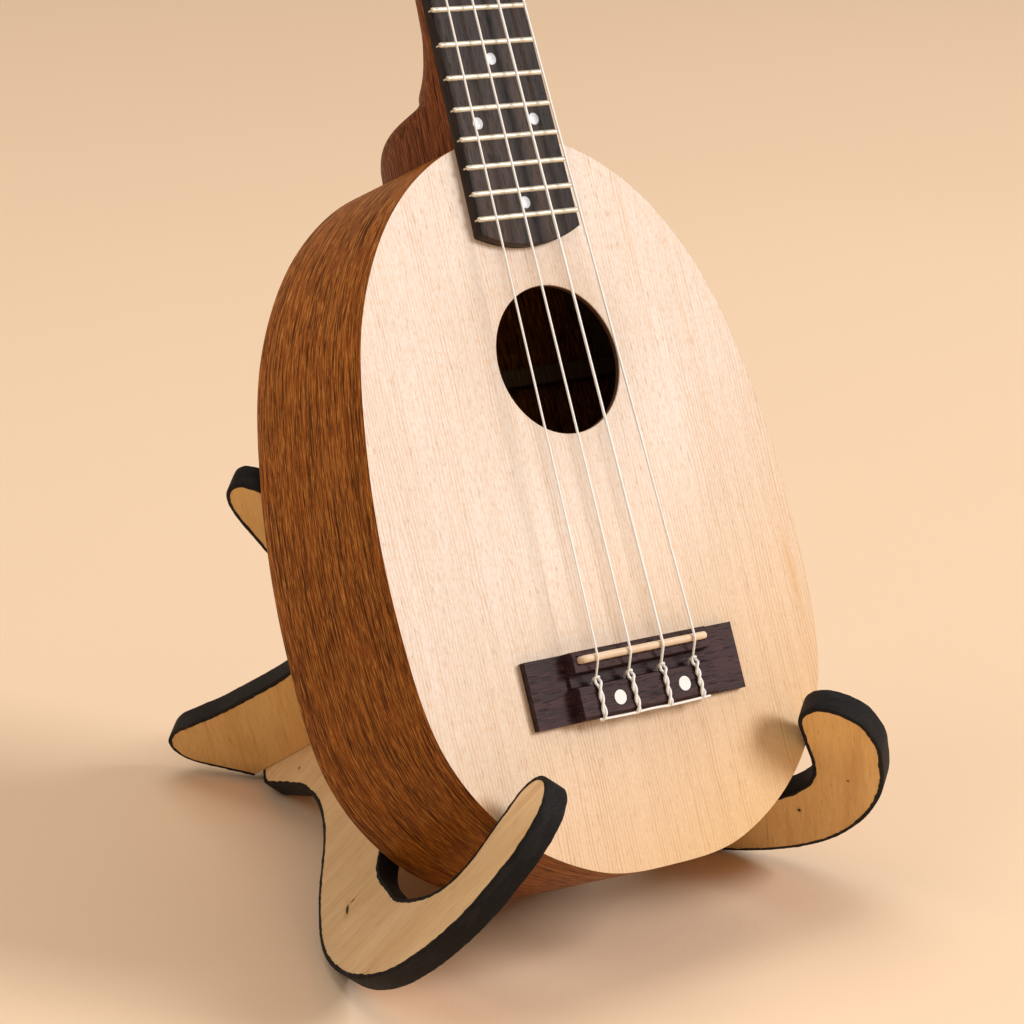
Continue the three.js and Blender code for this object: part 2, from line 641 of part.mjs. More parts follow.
// the shaft with its worm, drawn as rings, a collar and the button
function buildTunerKey(name, buttonX, wormY, out, shaftBar) {
  const threads = [];
  for (let turn = -2; turn <= 2; turn += 1) {
    const middle = turn * WORM_PITCH;
    threads.push(shaftBar(WORM_R, middle - 0.45, middle + 0.45, 10));
  }
  const collar = shaftBar(COLLAR_R, EAR_X + EAR_HALF + GAP, EAR_X + 2, 12);
  const button = new THREE.ExtrudeGeometry(buttonShape(), {
    depth: BUTTON_CORE,
    bevelThickness: BUTTON_BEVEL,
    bevelSize: BUTTON_BEVEL,
    bevelSegments: 1,
    curveSegments: 2,
  }).translate(0, 0, -BUTTON_CORE / 2);
  if (out < 0) button.rotateZ(Math.PI);
  button.translate(buttonX, wormY, WORM_Z);
  const shaft = shaftBar(SHAFT_R, -EAR_X - 1.2, BUTTON_X + 4, 10);
  const reach = EAR_X - EAR_HALF - GAP;
  const core = shaftBar(WORM_ROOT_R, -reach, reach, 10);
  const key = join(shaft, core, collar, button, ...threads);
  add(ukulele, `tuner_key_${name}`, onHead(key), BUTTON);
}

// the string post with its eye and the wheel that the worm turns
function buildTunerPost(name, x, y) {
  const cog = new THREE.ExtrudeGeometry(cogOutline(), { depth: COG_THICK, bevelEnabled: false });
  cog.translate(x, y, COG_TOP - COG_THICK);
  const foot = COG_TOP - COG_THICK - 1;
  const post = turned([
    [0, foot], [2.2, foot], [2.2, COG_TOP - 1], [POST_R, COG_TOP - 1], [POST_R, 3.4],
    [POST_R - 0.35, WRAP_Z], [POST_R, 6.6], [POST_R, POST_TOP - 0.6],
    [POST_R - 0.6, POST_TOP], [0, POST_TOP],
  ], 14).translate(x, y, 0);
  const eye = bar('x', 0.7, x - 5, x + 5, [y, EYE_Z], 8);
  add(ukulele, `tuner_post_${name}`, onHead(cut(join(post, cog), eye)), CHROME);
}

// ---------------------------------------------------------------- stand
// A plate's outline: first along the crossing line towards the front, then across it.
const HOOK_LIP = [-7, -96];
const HOOK_TIP = [[-1.7, -89.9], [3.4, -84.6], [11.2, -83.2], [17.4, -87.2], [20.8, -97]];
const BELLY = [
  [15.4, -108.6], [8.6, -115.7], [-1, -124], [-12, -130.6], [-30, -136.8], [-53, -138.5],
  [-79, -131.5], [-104, -116], [-124, -90.5], [-142, -58.3], [-160, -38], [-182, -23.7],
];
const REAR_FOOT = [[-248, 26], [-245.5, 35.5], [-235, 38.8]];
const ARM = [
  [-160, 35], [-124, 39], [-104, 54], [-92, 77], [-80, 101], [-71.5, 109.5], [-63.2, 109.6],
  [-59.4, 101.8],
];
const CRADLE = [
  [-86.2, -69], [-89.4, -80], [-84.4, -91.4], [-73.6, -99.9], [-60, -108.9], [-41, -113.3],
  [-27, -112.4], [-18.6, -108.3], [-13, -103.3], HOOK_LIP,
];

function plateShape() {
  const shape = new THREE.Shape();
  const through = (points) => shape.splineThru(points.map(([s, t]) => new THREE.Vector2(s, t)));
  shape.moveTo(...HOOK_LIP);
  through(HOOK_TIP);
  through(BELLY);
  shape.lineTo(-218, -11.5);
  shape.lineTo(-240, 15);
  through(REAR_FOOT);
  shape.lineTo(-206, 36);
  through(ARM);
  shape.lineTo(-77, -58.7);
  through(CRADLE);
  return shape;
}

function plateOutline() {
  const outline = plateShape().getPoints(PLATE_CURVE_STEPS);
  outline.pop();
  return THREE.ShapeUtils.isClockWise(outline) ? outline.reverse() : outline;
}

// a flat plate along its own x (the crossing line) and y, centred on z = 0
function plateFrom(outline, thick) {
  return slab(outline, level(thick / 2), level(-thick / 2));
}

function buildStand(groundZ) {
  const outline = plateOutline();
  const reach = PLATE_THICK / 2 + GAP;
  const slots = {
    left: box(LAP_MIDDLE - GAP / 2, FAR, -reach, reach, -FAR, FAR),
    right: box(-FAR, LAP_MIDDLE + GAP / 2, -reach, reach, -FAR, FAR),
  };
  const toStand = new THREE.Matrix4().makeBasis(
    new THREE.Vector3(0, -Math.cos(AXIS_RISE), Math.sin(AXIS_RISE)),
    new THREE.Vector3(0, Math.sin(AXIS_RISE), Math.cos(AXIS_RISE)),
    new THREE.Vector3(-1, 0, 0),
  ).setPosition(...CROSS_POINT);
  const ground = box(-FAR, FAR, -FAR, FAR, groundZ - FAR, groundZ);
  for (const [side, turn] of [['left', -CROSS_HALF], ['right', CROSS_HALF]]) {
    const place = (geometry) => geometry.rotateX(turn).applyMatrix4(toStand);
    const plate = cut(plateFrom(outline, PLATE_THICK), slots[side]);
    add(stand, `stand_plate_${side}`, place(plate), PLYWOOD);
    const band = cut(
      plateFrom(moved(outline, GAP + STRIP_THICK), PLATE_THICK),
      plateFrom(moved(outline, GAP), PLATE_THICK + 2),
      slots[side],
    );
    add(stand, `edge_strip_${side}`, cut(place(band), ground), RUBBER);
  }
}

// the lowest point of the two strips as they lie in the stand, before they are pressed flat
function lowestOfStand() {
  const outline = moved(plateOutline(), GAP + STRIP_THICK);
  let lowest = Infinity;
  for (const p of outline) {
    const across = p.y * Math.cos(CROSS_HALF) - PLATE_THICK / 2 * Math.sin(CROSS_HALF);
    const z = CROSS_POINT[2] + p.x * Math.sin(AXIS_RISE) + across * Math.cos(AXIS_RISE);
    lowest = Math.min(lowest, z);
  }
  return lowest;
}

// ---------------------------------------------------------------- assembly
buildBody();
buildBraces();
buildNeck();
buildFretboard();
buildNut();
buildBridge();
buildSaddle();
buildStrings();
TUNERS.forEach((_, i) => buildTuner(i));
buildStand(lowestOfStand() + FOOT_FLAT);

ukulele.rotation.set(Math.PI / 2 - LEAN, SEAT_ROLL, SEAT_YAW, 'ZYX');

const guitarOnStand = new THREE.Group();
guitarOnStand.add(stand, ukulele);
guitarOnStand.updateMatrixWorld(true);
const bounds = new THREE.Box3().setFromObject(guitarOnStand, true);
const centre = bounds.getCenter(new THREE.Vector3());
guitarOnStand.position.set(-centre.x, -centre.y, -bounds.min.z);

export default guitarOnStand;
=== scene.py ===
"""Looks of the ukulele in its stand. Ukulele pieces are made in the ukulele's own frame, in millimetres:
x to the right, y up the neck, z out of the soundboard, y = 0 at the end of the scale. The headstock and the
tuners are made in the headstock's frame, and the stand's edging in the frame of its plate."""

import json
import math

import bmesh
import bpy
import numpy as np
from mathutils import Matrix, Vector


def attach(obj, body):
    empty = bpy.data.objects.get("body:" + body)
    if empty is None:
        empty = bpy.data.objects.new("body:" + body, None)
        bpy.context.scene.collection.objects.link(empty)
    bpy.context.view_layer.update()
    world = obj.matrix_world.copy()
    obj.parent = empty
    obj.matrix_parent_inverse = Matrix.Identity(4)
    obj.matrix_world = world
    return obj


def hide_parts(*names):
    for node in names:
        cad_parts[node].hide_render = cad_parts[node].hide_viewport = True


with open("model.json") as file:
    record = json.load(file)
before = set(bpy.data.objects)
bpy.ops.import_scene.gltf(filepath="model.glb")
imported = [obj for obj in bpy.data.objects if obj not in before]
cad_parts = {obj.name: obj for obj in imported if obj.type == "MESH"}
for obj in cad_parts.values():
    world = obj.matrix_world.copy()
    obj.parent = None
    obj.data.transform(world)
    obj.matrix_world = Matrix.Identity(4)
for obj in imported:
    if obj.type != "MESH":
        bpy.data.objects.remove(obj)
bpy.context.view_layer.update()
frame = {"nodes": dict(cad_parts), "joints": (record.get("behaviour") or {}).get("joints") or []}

MM = 0.001
JOINTS = {j["name"]: j for j in frame["joints"]}
TUNERS = ["left_lower", "left_upper", "right_upper", "right_lower"]

# ------------------------------------------------------------------ dimensions in mm, as in the CAD model
SCALE = 346
FRETS = 15
NUT_HALF = 17.5
BOARD_FLARE = 0.0185
BOARD_TOP = 4.45
BOARD_END = 135.2
BOARD_END_RISE = 5
HOLE_SPOT = (2, 96.3)
HOLE_R = 25.6
BODY_HALF = [(0, -76.5), (30, -73.6), (61, -56), (81.5, -26), (87.6, 22), (84, 76), (73, 120), (52.5, 151.5),
             (27, 169), (0, 174)]
TAIL_Y, HEEL_Y = -76.5, 174
TAIL_DEPTH, HEEL_DEPTH = 70, 61.5
TOP_THICK = 2
SIDE_THICK = 2.2
BACK_THICK = 2.4
NECK_STATIONS = [(166, 61, 0.78), (174, 61.2, 0.78), (180, 60, 0.78), (185, 56.1, 0.78), (188.5, 47.6, 0.79),
                 (191, 28.8, 0.81), (194.5, 26.4, 0.85), (200, 21.1, 0.91), (206, 17.6, 0.96), (213, 14.9, 1),
                 (223, 13.6, 1), (245, 13.3, 1), (300, 13.2, 1), (349, 13.4, 1)]
HEAD_ANGLE = math.radians(8)
HEAD_THICK = 11
HEAD_FLARE = [(18, 8), (23, 17), (28, 28), (29, 50), (29.5, 80), (31, 108)]
HEAD_CROWN = [(24, 117), (12, 121), (0, 125), (-12, 121), (-24, 117), (-31, 108)]
POSTS = [(-17, 40), (-17, 86), (17, 86), (17, 40)]
POST_BORE = 4             # the radius of the headstock's bores
POST_R = 2.6
WRAP_Z = 5
STRING_X_NUT = 9
STRING_X_SADDLE = 14.07
STRING_RADII = [0.38, 0.42, 0.5, 0.42]
NUT_STRING_Z = 6.6
SADDLE_STRING_Z = 12.2
SADDLE_Y = -4.6
TIE_HOLE_Z = 5.4
TIE_TOP = 8
TIE_R = 0.5
TIE_FRONT, TIE_BACK = -13.4, -24.3
WORM_Y = 7.3
WORM_Z = -14.35
BUTTON_X = 17
PLATE_HALF = 4
CROSS_HALF = math.radians(45)
AXIS_RISE = math.radians(32.9)
CROSS_POINT = (-1.34, 7.59, 17.06)
LAP_MIDDLE = -148
PLATE_LEGS = [
    [(-7, -96), (-1.7, -89.9), (3.4, -84.6), (11.2, -83.2), (17.4, -87.2), (20.8, -97)],
    [(20.8, -97), (15.4, -108.6), (8.6, -115.7), (-1, -124), (-12, -130.6), (-30, -136.8), (-53, -138.5),
     (-79, -131.5), (-104, -116), (-124, -90.5), (-142, -58.3), (-160, -38), (-182, -23.7)],
    [(-182, -23.7), (-218, -11.5)],
    [(-218, -11.5), (-240, 15)],
    [(-240, 15), (-248, 26), (-245.5, 35.5), (-235, 38.8)],
    [(-235, 38.8), (-206, 36)],
    [(-206, 36), (-160, 35), (-124, 39), (-104, 54), (-92, 77), (-80, 101), (-71.5, 109.5), (-63.2, 109.6),
     (-59.4, 101.8)],
    [(-59.4, 101.8), (-77, -58.7)],
    [(-77, -58.7), (-86.2, -69), (-89.4, -80), (-84.4, -91.4), (-73.6, -99.9), (-60, -108.9), (-41, -113.3),
     (-27, -112.4), (-18.6, -108.3), (-13, -103.3), (-7, -96)],
]

# ------------------------------------------------------------------ details in mm that only the looks have
MERGE_DISTANCE = 1e-7     # in metres
CORD_END_REACH = 0.6      # a cord's rounded end: how far it stands out and how wide it still is there,
CORD_END_SIZE = 0.55      # both as shares of the cord's radius
TOP_INSET = 0.14          # the soundboard stops this far inside the rim,
SIDE_INSET = 0.13         # and the sides reach over the joint up to here
BACK_INSET = 1.2
SIDE_ROUNDING = [(SIDE_INSET, -0.01), (0.06, -0.05), (0.02, -0.14), (0.0, -0.34)]
BACK_ROUNDING = [(0, 1.1), (0.2, 0.5), (0.6, 0.12), (BACK_INSET, 0)]
RIM_POINTS = 300
SIDE_GRAIN_DEPTH = 10     # the third grain coordinate, from the first ring of the sides to the last
HEEL_MIDDLE = 172         # stands for the y of the neck's first section, which follows the rim
SHOULDER_Y = 120          # the rim above here is what it follows
NECK_OVERLAP = 0.4        # how far the heel reaches into the sides
NECK_RISE = 0.12          # how far the neck reaches up into the fretboard
NECK_SIDES = 40
NUT_BLEND = 12            # the headstock takes on the neck's round over this length
BORE_DEPTH = 40
FRET_R = 0.95
FRET_OVERHANG = 0.35
FRET_END = 0.9            # a fret gets lower over this length at each end
TANG = [(0.3, -1.9), (0.3, 0.1), (-0.3, 0.1), (-0.3, -1.9)]
DOTS = [(0, 5), (0, 7), (0, 10), (-12, 12), (12, 12), (0, 15)]     # x and the number of the fret below it
DOT_R = 2.1
WINDINGS = 3.4
WINDING_STEP = 0.18       # down the post for each radian
TIE_SHIFT = 0.4
TIE_LEANS = (-0.3, 0.5, 0.2, 0.7)
TIE_TAIL_R = 0.42
SADDLE_X = 0.8
SADDLE_HALF = 1.25
SADDLE_REACH = 27.6
SADDLE_BOTTOM, SADDLE_TOP = 4.7, 11.5
SADDLE_END_DROP, SADDLE_END_RUN = 2.2, 2.6
SADDLE_CAP = 3            # the closely spaced sections at each end cover this length
SHAFT_R = 1.25
WORM_R, WORM_CORD, WORM_PITCH, WORM_TURNS = 1.35, 0.45, 1.7, 2.3
BUTTON_HALF = [(0.0, 2.4), (2.0, 3.1), (5, 5.3), (8, 6.7), (10.5, 7.0), (13, 6.0), (14.8, 4.0), (15.6, 1.4)]
BUTTON_ROUNDING = [(2.2, -2.2), (0.8, -1.9), (0.15, -1.1), (0, 0), (0.15, 1.1), (0.8, 1.9), (2.2, 2.2)]
BASE_TOP = -HEAD_THICK - 1.25
SCREW_X, SCREW_Y = 4.4, -6.4
OUTLINE_STEP = 0.8
SOFT_REACH, SOFT_WIDTH = 12, 4      # in steps of the outline
SLOT_MARGIN = 0.25
STRIP_THICK = 1.08
STRIP_LIP = -0.45         # how far the edging reaches onto the plate's faces
FRAY_FINE, FRAY_BROAD, FRAY_LIP = 0.16, 0.14, 0.22
STRIP_WAVE = 0.10
FLOOR_GAP = 0.02
BEVEL_SEGMENTS = 3
BEVEL_ANGLE = math.radians(40)


# ------------------------------------------------------------------ frames
def ukulele_frame():
    """The ukulele's own frame, from the axes of its lowest left tuner."""
    x = Vector(JOINTS["key_turn_left_lower"]["axis"]).normalized()
    post = JOINTS["post_turn_left_lower"]
    z = Matrix.Rotation(HEAD_ANGLE, 3, x) @ Vector(post["axis"]).normalized()
    m = Matrix((x, z.cross(x), z)).transposed()
    px, py = POSTS[0]
    foot = Vector((px, SCALE + py * math.cos(HEAD_ANGLE), -py * math.sin(HEAD_ANGLE))) * MM
    return Matrix.Translation(Vector(post["pos_m"]) - m @ foot) @ m.to_4x4()


UKULELE = ukulele_frame()
HEAD = UKULELE @ Matrix.Translation((0, SCALE * MM, 0)) @ Matrix.Rotation(-HEAD_ANGLE, 4, "X")


def plate_frame(turn):
    """A stand plate's own frame: x along the line where the plates cross, z out of the plate."""
    c, s = math.cos(AXIS_RISE), math.sin(AXIS_RISE)
    basis = Matrix(((0, 0, -1), (-c, s, 0), (s, c, 0))).to_4x4()
    spot = UKULELE.translation + Vector(CROSS_POINT) * MM
    return Matrix.Translation(spot) @ basis @ Matrix.Rotation(turn, 4, "X")


PLATES = {"left": plate_frame(-CROSS_HALF), "right": plate_frame(CROSS_HALF)}


# ------------------------------------------------------------------ curves
def spline(points, per_leg):
    """A uniform Catmull-Rom curve through the points, without its last point."""
    p = np.array([points[0], *points, points[-1]], float)
    out = []
    for a, b, c, d in zip(p, p[1:], p[2:], p[3:]):
        slope, bend, twist = c - a, 2 * a - 5 * b + 4 * c - d, 3 * b - a - 3 * c + d
        for t in np.arange(per_leg) / per_leg:
            out.append(0.5 * (2 * b + slope * t + bend * t * t + twist * t ** 3))
    return out


def respaced(points, count=None, step=None, closed=True):
    """Points at even distances along a polyline."""
    p = np.array(points, float)
    if closed:
        p = np.vstack([p, p[:1]])
    run = np.concatenate([[0], np.cumsum(np.linalg.norm(np.diff(p, axis=0), axis=1))])
    count = count or max(8, round(run[-1] / step))
    at = np.linspace(0, run[-1], count + (1 if closed else 0))[: count]
    return np.stack([np.interp(at, run, p[:, k]) for k in range(p.shape[1])], 1)


def centripetal(points, per_leg):
    """A closed centripetal Catmull-Rom curve."""
    p = np.array(points, float)
    out = []
    for i in range(len(p)):
        a, b, c, d = (p[(i + k - 1) % len(p)] for k in range(4))
        t = np.cumsum([0, *(np.linalg.norm(v) ** 0.5 for v in (b - a, c - b, d - c))])
        for u in t[1] + (t[2] - t[1]) * np.arange(per_leg) / per_leg:
            ab = a + (b - a) * (u - t[0]) / (t[1] - t[0])
            bc = b + (c - b) * (u - t[1]) / (t[2] - t[1])
            cd = c + (d - c) * (u - t[2]) / (t[3] - t[2])
            abc = ab + (bc - ab) * (u - t[0]) / (t[2] - t[0])
            bcd = bc + (cd - bc) * (u - t[1]) / (t[3] - t[1])
            out.append(abc + (bcd - abc) * (u - t[1]) / (t[2] - t[1]))
    return out


def offset(outline, distance):
    """A closed counter-clockwise outline moved outwards."""
    along = np.roll(outline, -1, 0) - np.roll(outline, 1, 0)
    along /= np.linalg.norm(along, axis=1)[:, None]
    return outline + distance * np.stack([along[:, 1], -along[:, 0]], 1)


RIM = respaced(centripetal(BODY_HALF + [(-x, y) for x, y in BODY_HALF[-2:0:-1]], 24), count=RIM_POINTS)


def depth(y):
    """The body's depth, which shrinks from the tail to the heel."""
    return TAIL_DEPTH + (HEEL_DEPTH - TAIL_DEPTH) * (y - TAIL_Y) / (HEEL_Y - TAIL_Y)


def board_half(y):
    return NUT_HALF + BOARD_FLARE * (SCALE - y)


def fret_y(n):
    return SCALE * 2 ** (-n / 12)


# ------------------------------------------------------------------ meshes
def linked(name, data):
    """A new object in the scene, with this data."""
    made = bpy.data.objects.new(name, data)
    bpy.context.collection.objects.link(made)
    return made


def from_bmesh(name, work):
    """A new object in the scene, from a bmesh that isn't needed after it."""
    mesh = bpy.data.meshes.new(name)
    work.to_mesh(mesh)
    work.free()
    return linked(name, mesh)


class Shell:
    """Vertices and faces of one piece, in millimetres, with a grain coordinate for each vertex."""

    def __init__(self):
        self.verts, self.faces, self.grain = [], [], []

    def rings(self, rings, grain=None, loop=False):
        """Faces between closed rings of equally many points, with the ends capped unless they join up."""
        start, n = len(self.verts), len(rings[0])
        for k, ring in enumerate(rings):
            ring = np.array(ring, float)
            self.verts += [tuple(p) for p in ring]
            self.grain += [tuple(g) for g in (ring[:, [1, 0, 2]] if grain is None else grain[k])]
        count = len(rings)
        for k in range(count if loop else count - 1):
            a, b = start + k * n, start + (k + 1) % count * n
            for i in range(n):
                j = (i + 1) % n
                self.faces.append((a + i, a + j, b + j, b + i))
        if not loop:
            self.faces.append(tuple(start + i for i in range(n))[::-1])
            self.faces.append(tuple(start + (count - 1) * n + i for i in range(n)))

    def tube(self, path, radius, sides=10):
        """A round cord along a path, with rounded ends."""
        path = np.array(path, float)
        along = np.gradient(path, axis=0)
        along /= np.linalg.norm(along, axis=1)[:, None]
        turn = 2 * math.pi * np.arange(sides) / sides
        side = np.cross(along[0], (0.3, 0.2, 1.0))
        rings = []
        for p, a in zip(path, along):
            side = side - a * (side @ a)
            side /= np.linalg.norm(side)
            up = np.cross(a, side)
            rings.append(p + radius * (np.outer(np.cos(turn), side) + np.outer(np.sin(turn), up)))
        first, last = rings[0].mean(0), rings[-1].mean(0)
        rings.insert(0, first - along[0] * radius * CORD_END_REACH + (rings[0] - first) * CORD_END_SIZE)
        rings.append(last + along[-1] * radius * CORD_END_REACH + (rings[-1] - last) * CORD_END_SIZE)
        self.rings(rings)

    def lathe(self, profile, sides, place):
        """A body turned about its own z axis and moved by place; the profile lists (radius, z)."""
        turn = 2 * math.pi * np.arange(sides) / sides
        circle = np.stack([np.cos(turn), np.sin(turn)], 1)
        self.rings([[place(x * r, y * r, z) for x, y in circle] for r, z in profile])

    def piece(self, name, body, material, at=UKULELE, replaces=(), sharp=35):
        """Makes the object. at is the frame of the millimetres, sharp the angle of a hard edge in degrees."""
        mesh = bpy.data.meshes.new(name)
        mesh.from_pydata([[c * MM for c in v] for v in self.verts], [], self.faces)
        grain = mesh.attributes.new("grain", "FLOAT_VECTOR", "POINT")
        grain.data.foreach_set("vector", (np.array(self.grain, np.float32) * MM).ravel())
        work = bmesh.new()
        work.from_mesh(mesh)
        bmesh.ops.remove_doubles(work, verts=work.verts, dist=MERGE_DISTANCE)
        bmesh.ops.recalc_face_normals(work, faces=work.faces)
        work.to_mesh(mesh)
        work.free()
        mesh.transform(at)
        mesh.shade_smooth()
        mesh.set_sharp_from_angle(angle=math.radians(sharp))
        mesh.materials.append(material)
        made = linked(name, mesh)
        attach(made, body)
        if replaces:
            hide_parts(*replaces)
        return made


def smooth_noise(count, reach, seed):
    """Closed noise between about -1 and 1, smoothed over a number of points."""
    margin = 3 * reach
    values = np.random.RandomState(seed).normal(size=count)
    kernel = np.exp(-0.5 * (np.arange(-margin, margin + 1) / reach) ** 2)
    values = np.convolve(np.concatenate([values[-margin:], values, values[:margin]]), kernel, "valid")
    return values / values.std() * 0.5


# ------------------------------------------------------------------ materials
MIX_SHARE, MIX_A, MIX_B, MIX_RESULT = 0, 6, 7, 2     # the colour sockets of a Mix node


def scaled(color, factor):
    return tuple(c * factor for c in color)


class Paint:
    """A principled material built from small node calls. A socket or a plain value may feed any input.
    In noises, stretch() gives the waves per metre along and across the grain; ramp() gives the range of the
    noise that counts."""

    def __init__(self, name, roughness=0.5, metallic=0.0, **fixed):
        self.material = bpy.data.materials.new(name)
        self.material.use_nodes = True
        self.tree = self.material.node_tree
        self.shader = self.tree.nodes["Principled BSDF"]
        self.shader.inputs["Roughness"].default_value = roughness
        self.shader.inputs["Metallic"].default_value = metallic
        for key, value in fixed.items():
            self.shader.inputs[key.replace("_", " ")].default_value = value

    def node(self, kind, inputs, out=0, **props):
        made = self.tree.nodes.new("ShaderNode" + kind)
        for key, value in props.items():
            setattr(made, key, value)
        for key, value in inputs.items():
            self.feed(made.inputs[key], value)
        return made.outputs[out]

    def feed(self, socket, value):
        if isinstance(value, bpy.types.NodeSocket):
            self.tree.links.new(value, socket)
        else:
            socket.default_value = value

    def grain(self):
        """The grain coordinate of the piece, in metres, along the grain first."""
        return self.node("Attribute", {}, out="Vector", attribute_name="grain")

    def place(self):
        return self.node("TexCoord", {}, out="Object")

    def cad(self, matrix, order=(0, 1, 2)):
        """Object coordinates turned into a local frame; order puts the axis along the grain first."""
        swap = Matrix([[1.0 if order[r] == c else 0.0 for c in range(3)] for r in range(3)])
        turn = swap @ matrix.to_3x3().inverted()
        if turn.determinant() < 0:
            turn = Matrix(((1, 0, 0), (0, 1, 0), (0, 0, -1))) @ turn
        where = self.place()
        shift = -(turn @ matrix.translation)
        return self.node("Mapping", {"Vector": where, "Location": shift, "Rotation": turn.to_euler()})

    def stretch(self, vector, x, y, z):
        return self.node("VectorMath", {0: vector, 1: (x, y, z)}, operation="MULTIPLY")

    def shift(self, vector, x, y, z):
        return self.node("VectorMath", {0: vector, 1: (x, y, z)}, operation="ADD")

    def length(self, vector):
        return self.node("VectorMath", {0: vector}, out="Value", operation="LENGTH")

    def near(self, vector, x, y, along, across):
        """The distance from a spot, as a share of a size along and across the grain."""
        return self.length(self.stretch(self.shift(vector, -x, -y, 0), 1 / along, 1 / across, 0))

    def noise(self, vector, detail, rough=0.5, distortion=0.0):
        return self.node("TexNoise", {"Vector": vector, "Scale": 1.0, "Detail": detail, "Roughness": rough,
                                      "Distortion": distortion})

    def ramp(self, value, low, high, a=0.0, b=1.0):
        """Straight from a to b as the value goes from low to high."""
        return self.node("MapRange", {"Value": value, "From Min": low, "From Max": high, "To Min": a,
                                      "To Max": b})

    def maths(self, operation, a, b=0.0):
        return self.node("Math", {0: a, 1: b}, operation=operation)

    def times(self, a, b):
        return self.maths("MULTIPLY", a, b)

    def mix(self, share, a, b, blend="MIX"):
        """From colour a to colour b by a share."""
        made = self.tree.nodes.new("ShaderNodeMix")
        made.data_type = "RGBA"
        made.blend_type = blend
        self.feed(made.inputs[MIX_SHARE], share)
        for socket, color in ((MIX_A, a), (MIX_B, b)):
            linkable = isinstance(color, bpy.types.NodeSocket)
            self.feed(made.inputs[socket], color if linkable else (*color, 1.0))
        return made.outputs[MIX_RESULT]

    def done(self, color, roughness, height, bump):
        """The finished material. bump is the relief's depth in metres; without a roughness the fixed one
        stays."""
        self.feed(self.shader.inputs["Base Color"], color)
        if roughness is not None:
            self.feed(self.shader.inputs["Roughness"], roughness)
        normal = self.node("Bump", {"Height": height, "Distance": bump, "Strength": 1.0}, out="Normal")
        self.feed(self.shader.inputs["Normal"], normal)
        return self.material


def soundboard_wood():
    """Pale spruce with fine year rings, short dark dashes and one orange mark. Painted shade makes it darker
    and more golden towards the tail and the lower right, with the year rings stronger there."""
    p = Paint("pale_spruce", Specular_IOR_Level=0.4)
    g = p.grain()
    waver = p.noise(p.stretch(g, 16, 70, 1), 3, 0.6)
    bent = p.node("VectorMath", {0: g, 1: p.node("CombineXYZ", {"Y": p.times(waver, 0.0055)})},
                  operation="ADD")
    rings = p.node("TexWave", {"Vector": p.stretch(bent, 0.0, 1.0, 0.0), "Scale": 235.0}, out="Fac",
                   bands_direction="Y", wave_profile="SAW")
    strength = p.ramp(p.noise(p.stretch(g, 9, 260, 1), 3), 0.36, 0.64, 0.1, 1.0)
    late = p.times(p.ramp(rings, 0.45, 1.0), strength)
    fibres = p.noise(p.stretch(g, 130, 2600, 1), 4, 0.65)
    dashes = p.ramp(p.noise(p.stretch(p.shift(g, 3, 1, 0), 170, 1500, 1), 2), 0.66, 0.74)
    flecks = p.ramp(p.noise(p.stretch(g, 900, 260, 1), 2), 0.55, 0.75)
    blotch = p.ramp(p.noise(p.stretch(g, 6, 22, 1), 3), 0.3, 0.7)
    streak = p.ramp(p.noise(p.stretch(p.shift(g, 0, 7, 0), 3.2, 95, 1), 2), 0.62, 0.78)
    grit = p.ramp(p.noise(p.stretch(p.shift(g, 5, 2, 0), 420, 900, 1), 3, 0.7), 0.48, 0.64)
    color = p.mix(blotch, (0.735, 0.63, 0.54), (0.785, 0.70, 0.63))
    # Painted shade: towards the tail and the lower right the colour turns darker and golden, and the year
    # rings show stronger, standing in for the light falling off there.
    tail = p.node("VectorMath", {0: g, 1: (-1.0, 0.55, 0.0)}, out="Value", operation="DOT_PRODUCT")
    color = p.mix(p.ramp(tail, -0.05, 0.09), color, (0.74, 0.475, 0.215))
    color = p.mix(p.times(late, p.ramp(tail, -0.06, 0.06, 0.62, 1.0)), color, (0.56, 0.31, 0.14))
    color = p.mix(p.times(grit, 0.45), color, (0.66, 0.40, 0.20))
    color = p.mix(p.times(streak, 0.45), color, (0.70, 0.43, 0.20))
    stain = p.ramp(p.near(bent, 0.012, 0.0834, 0.015, 0.002), 0.2, 1.3, 0.65, 0.0)
    color = p.mix(stain, color, (0.66, 0.36, 0.13))
    color = p.mix(p.ramp(fibres, 0.40, 0.62, 0.2, 0.0), color, (0.52, 0.32, 0.16))
    color = p.mix(p.times(flecks, 0.12), color, (0.93, 0.80, 0.66))
    color = p.mix(p.times(dashes, 0.5), color, (0.42, 0.22, 0.10))
    relief = p.times(fibres, 0.5)
    height = p.maths("SUBTRACT", relief, p.maths("ADD", dashes, p.times(late, 0.3)))
    return p.done(color, p.ramp(fibres, 0.3, 0.7, 0.5, 0.38), height, 0.00006)


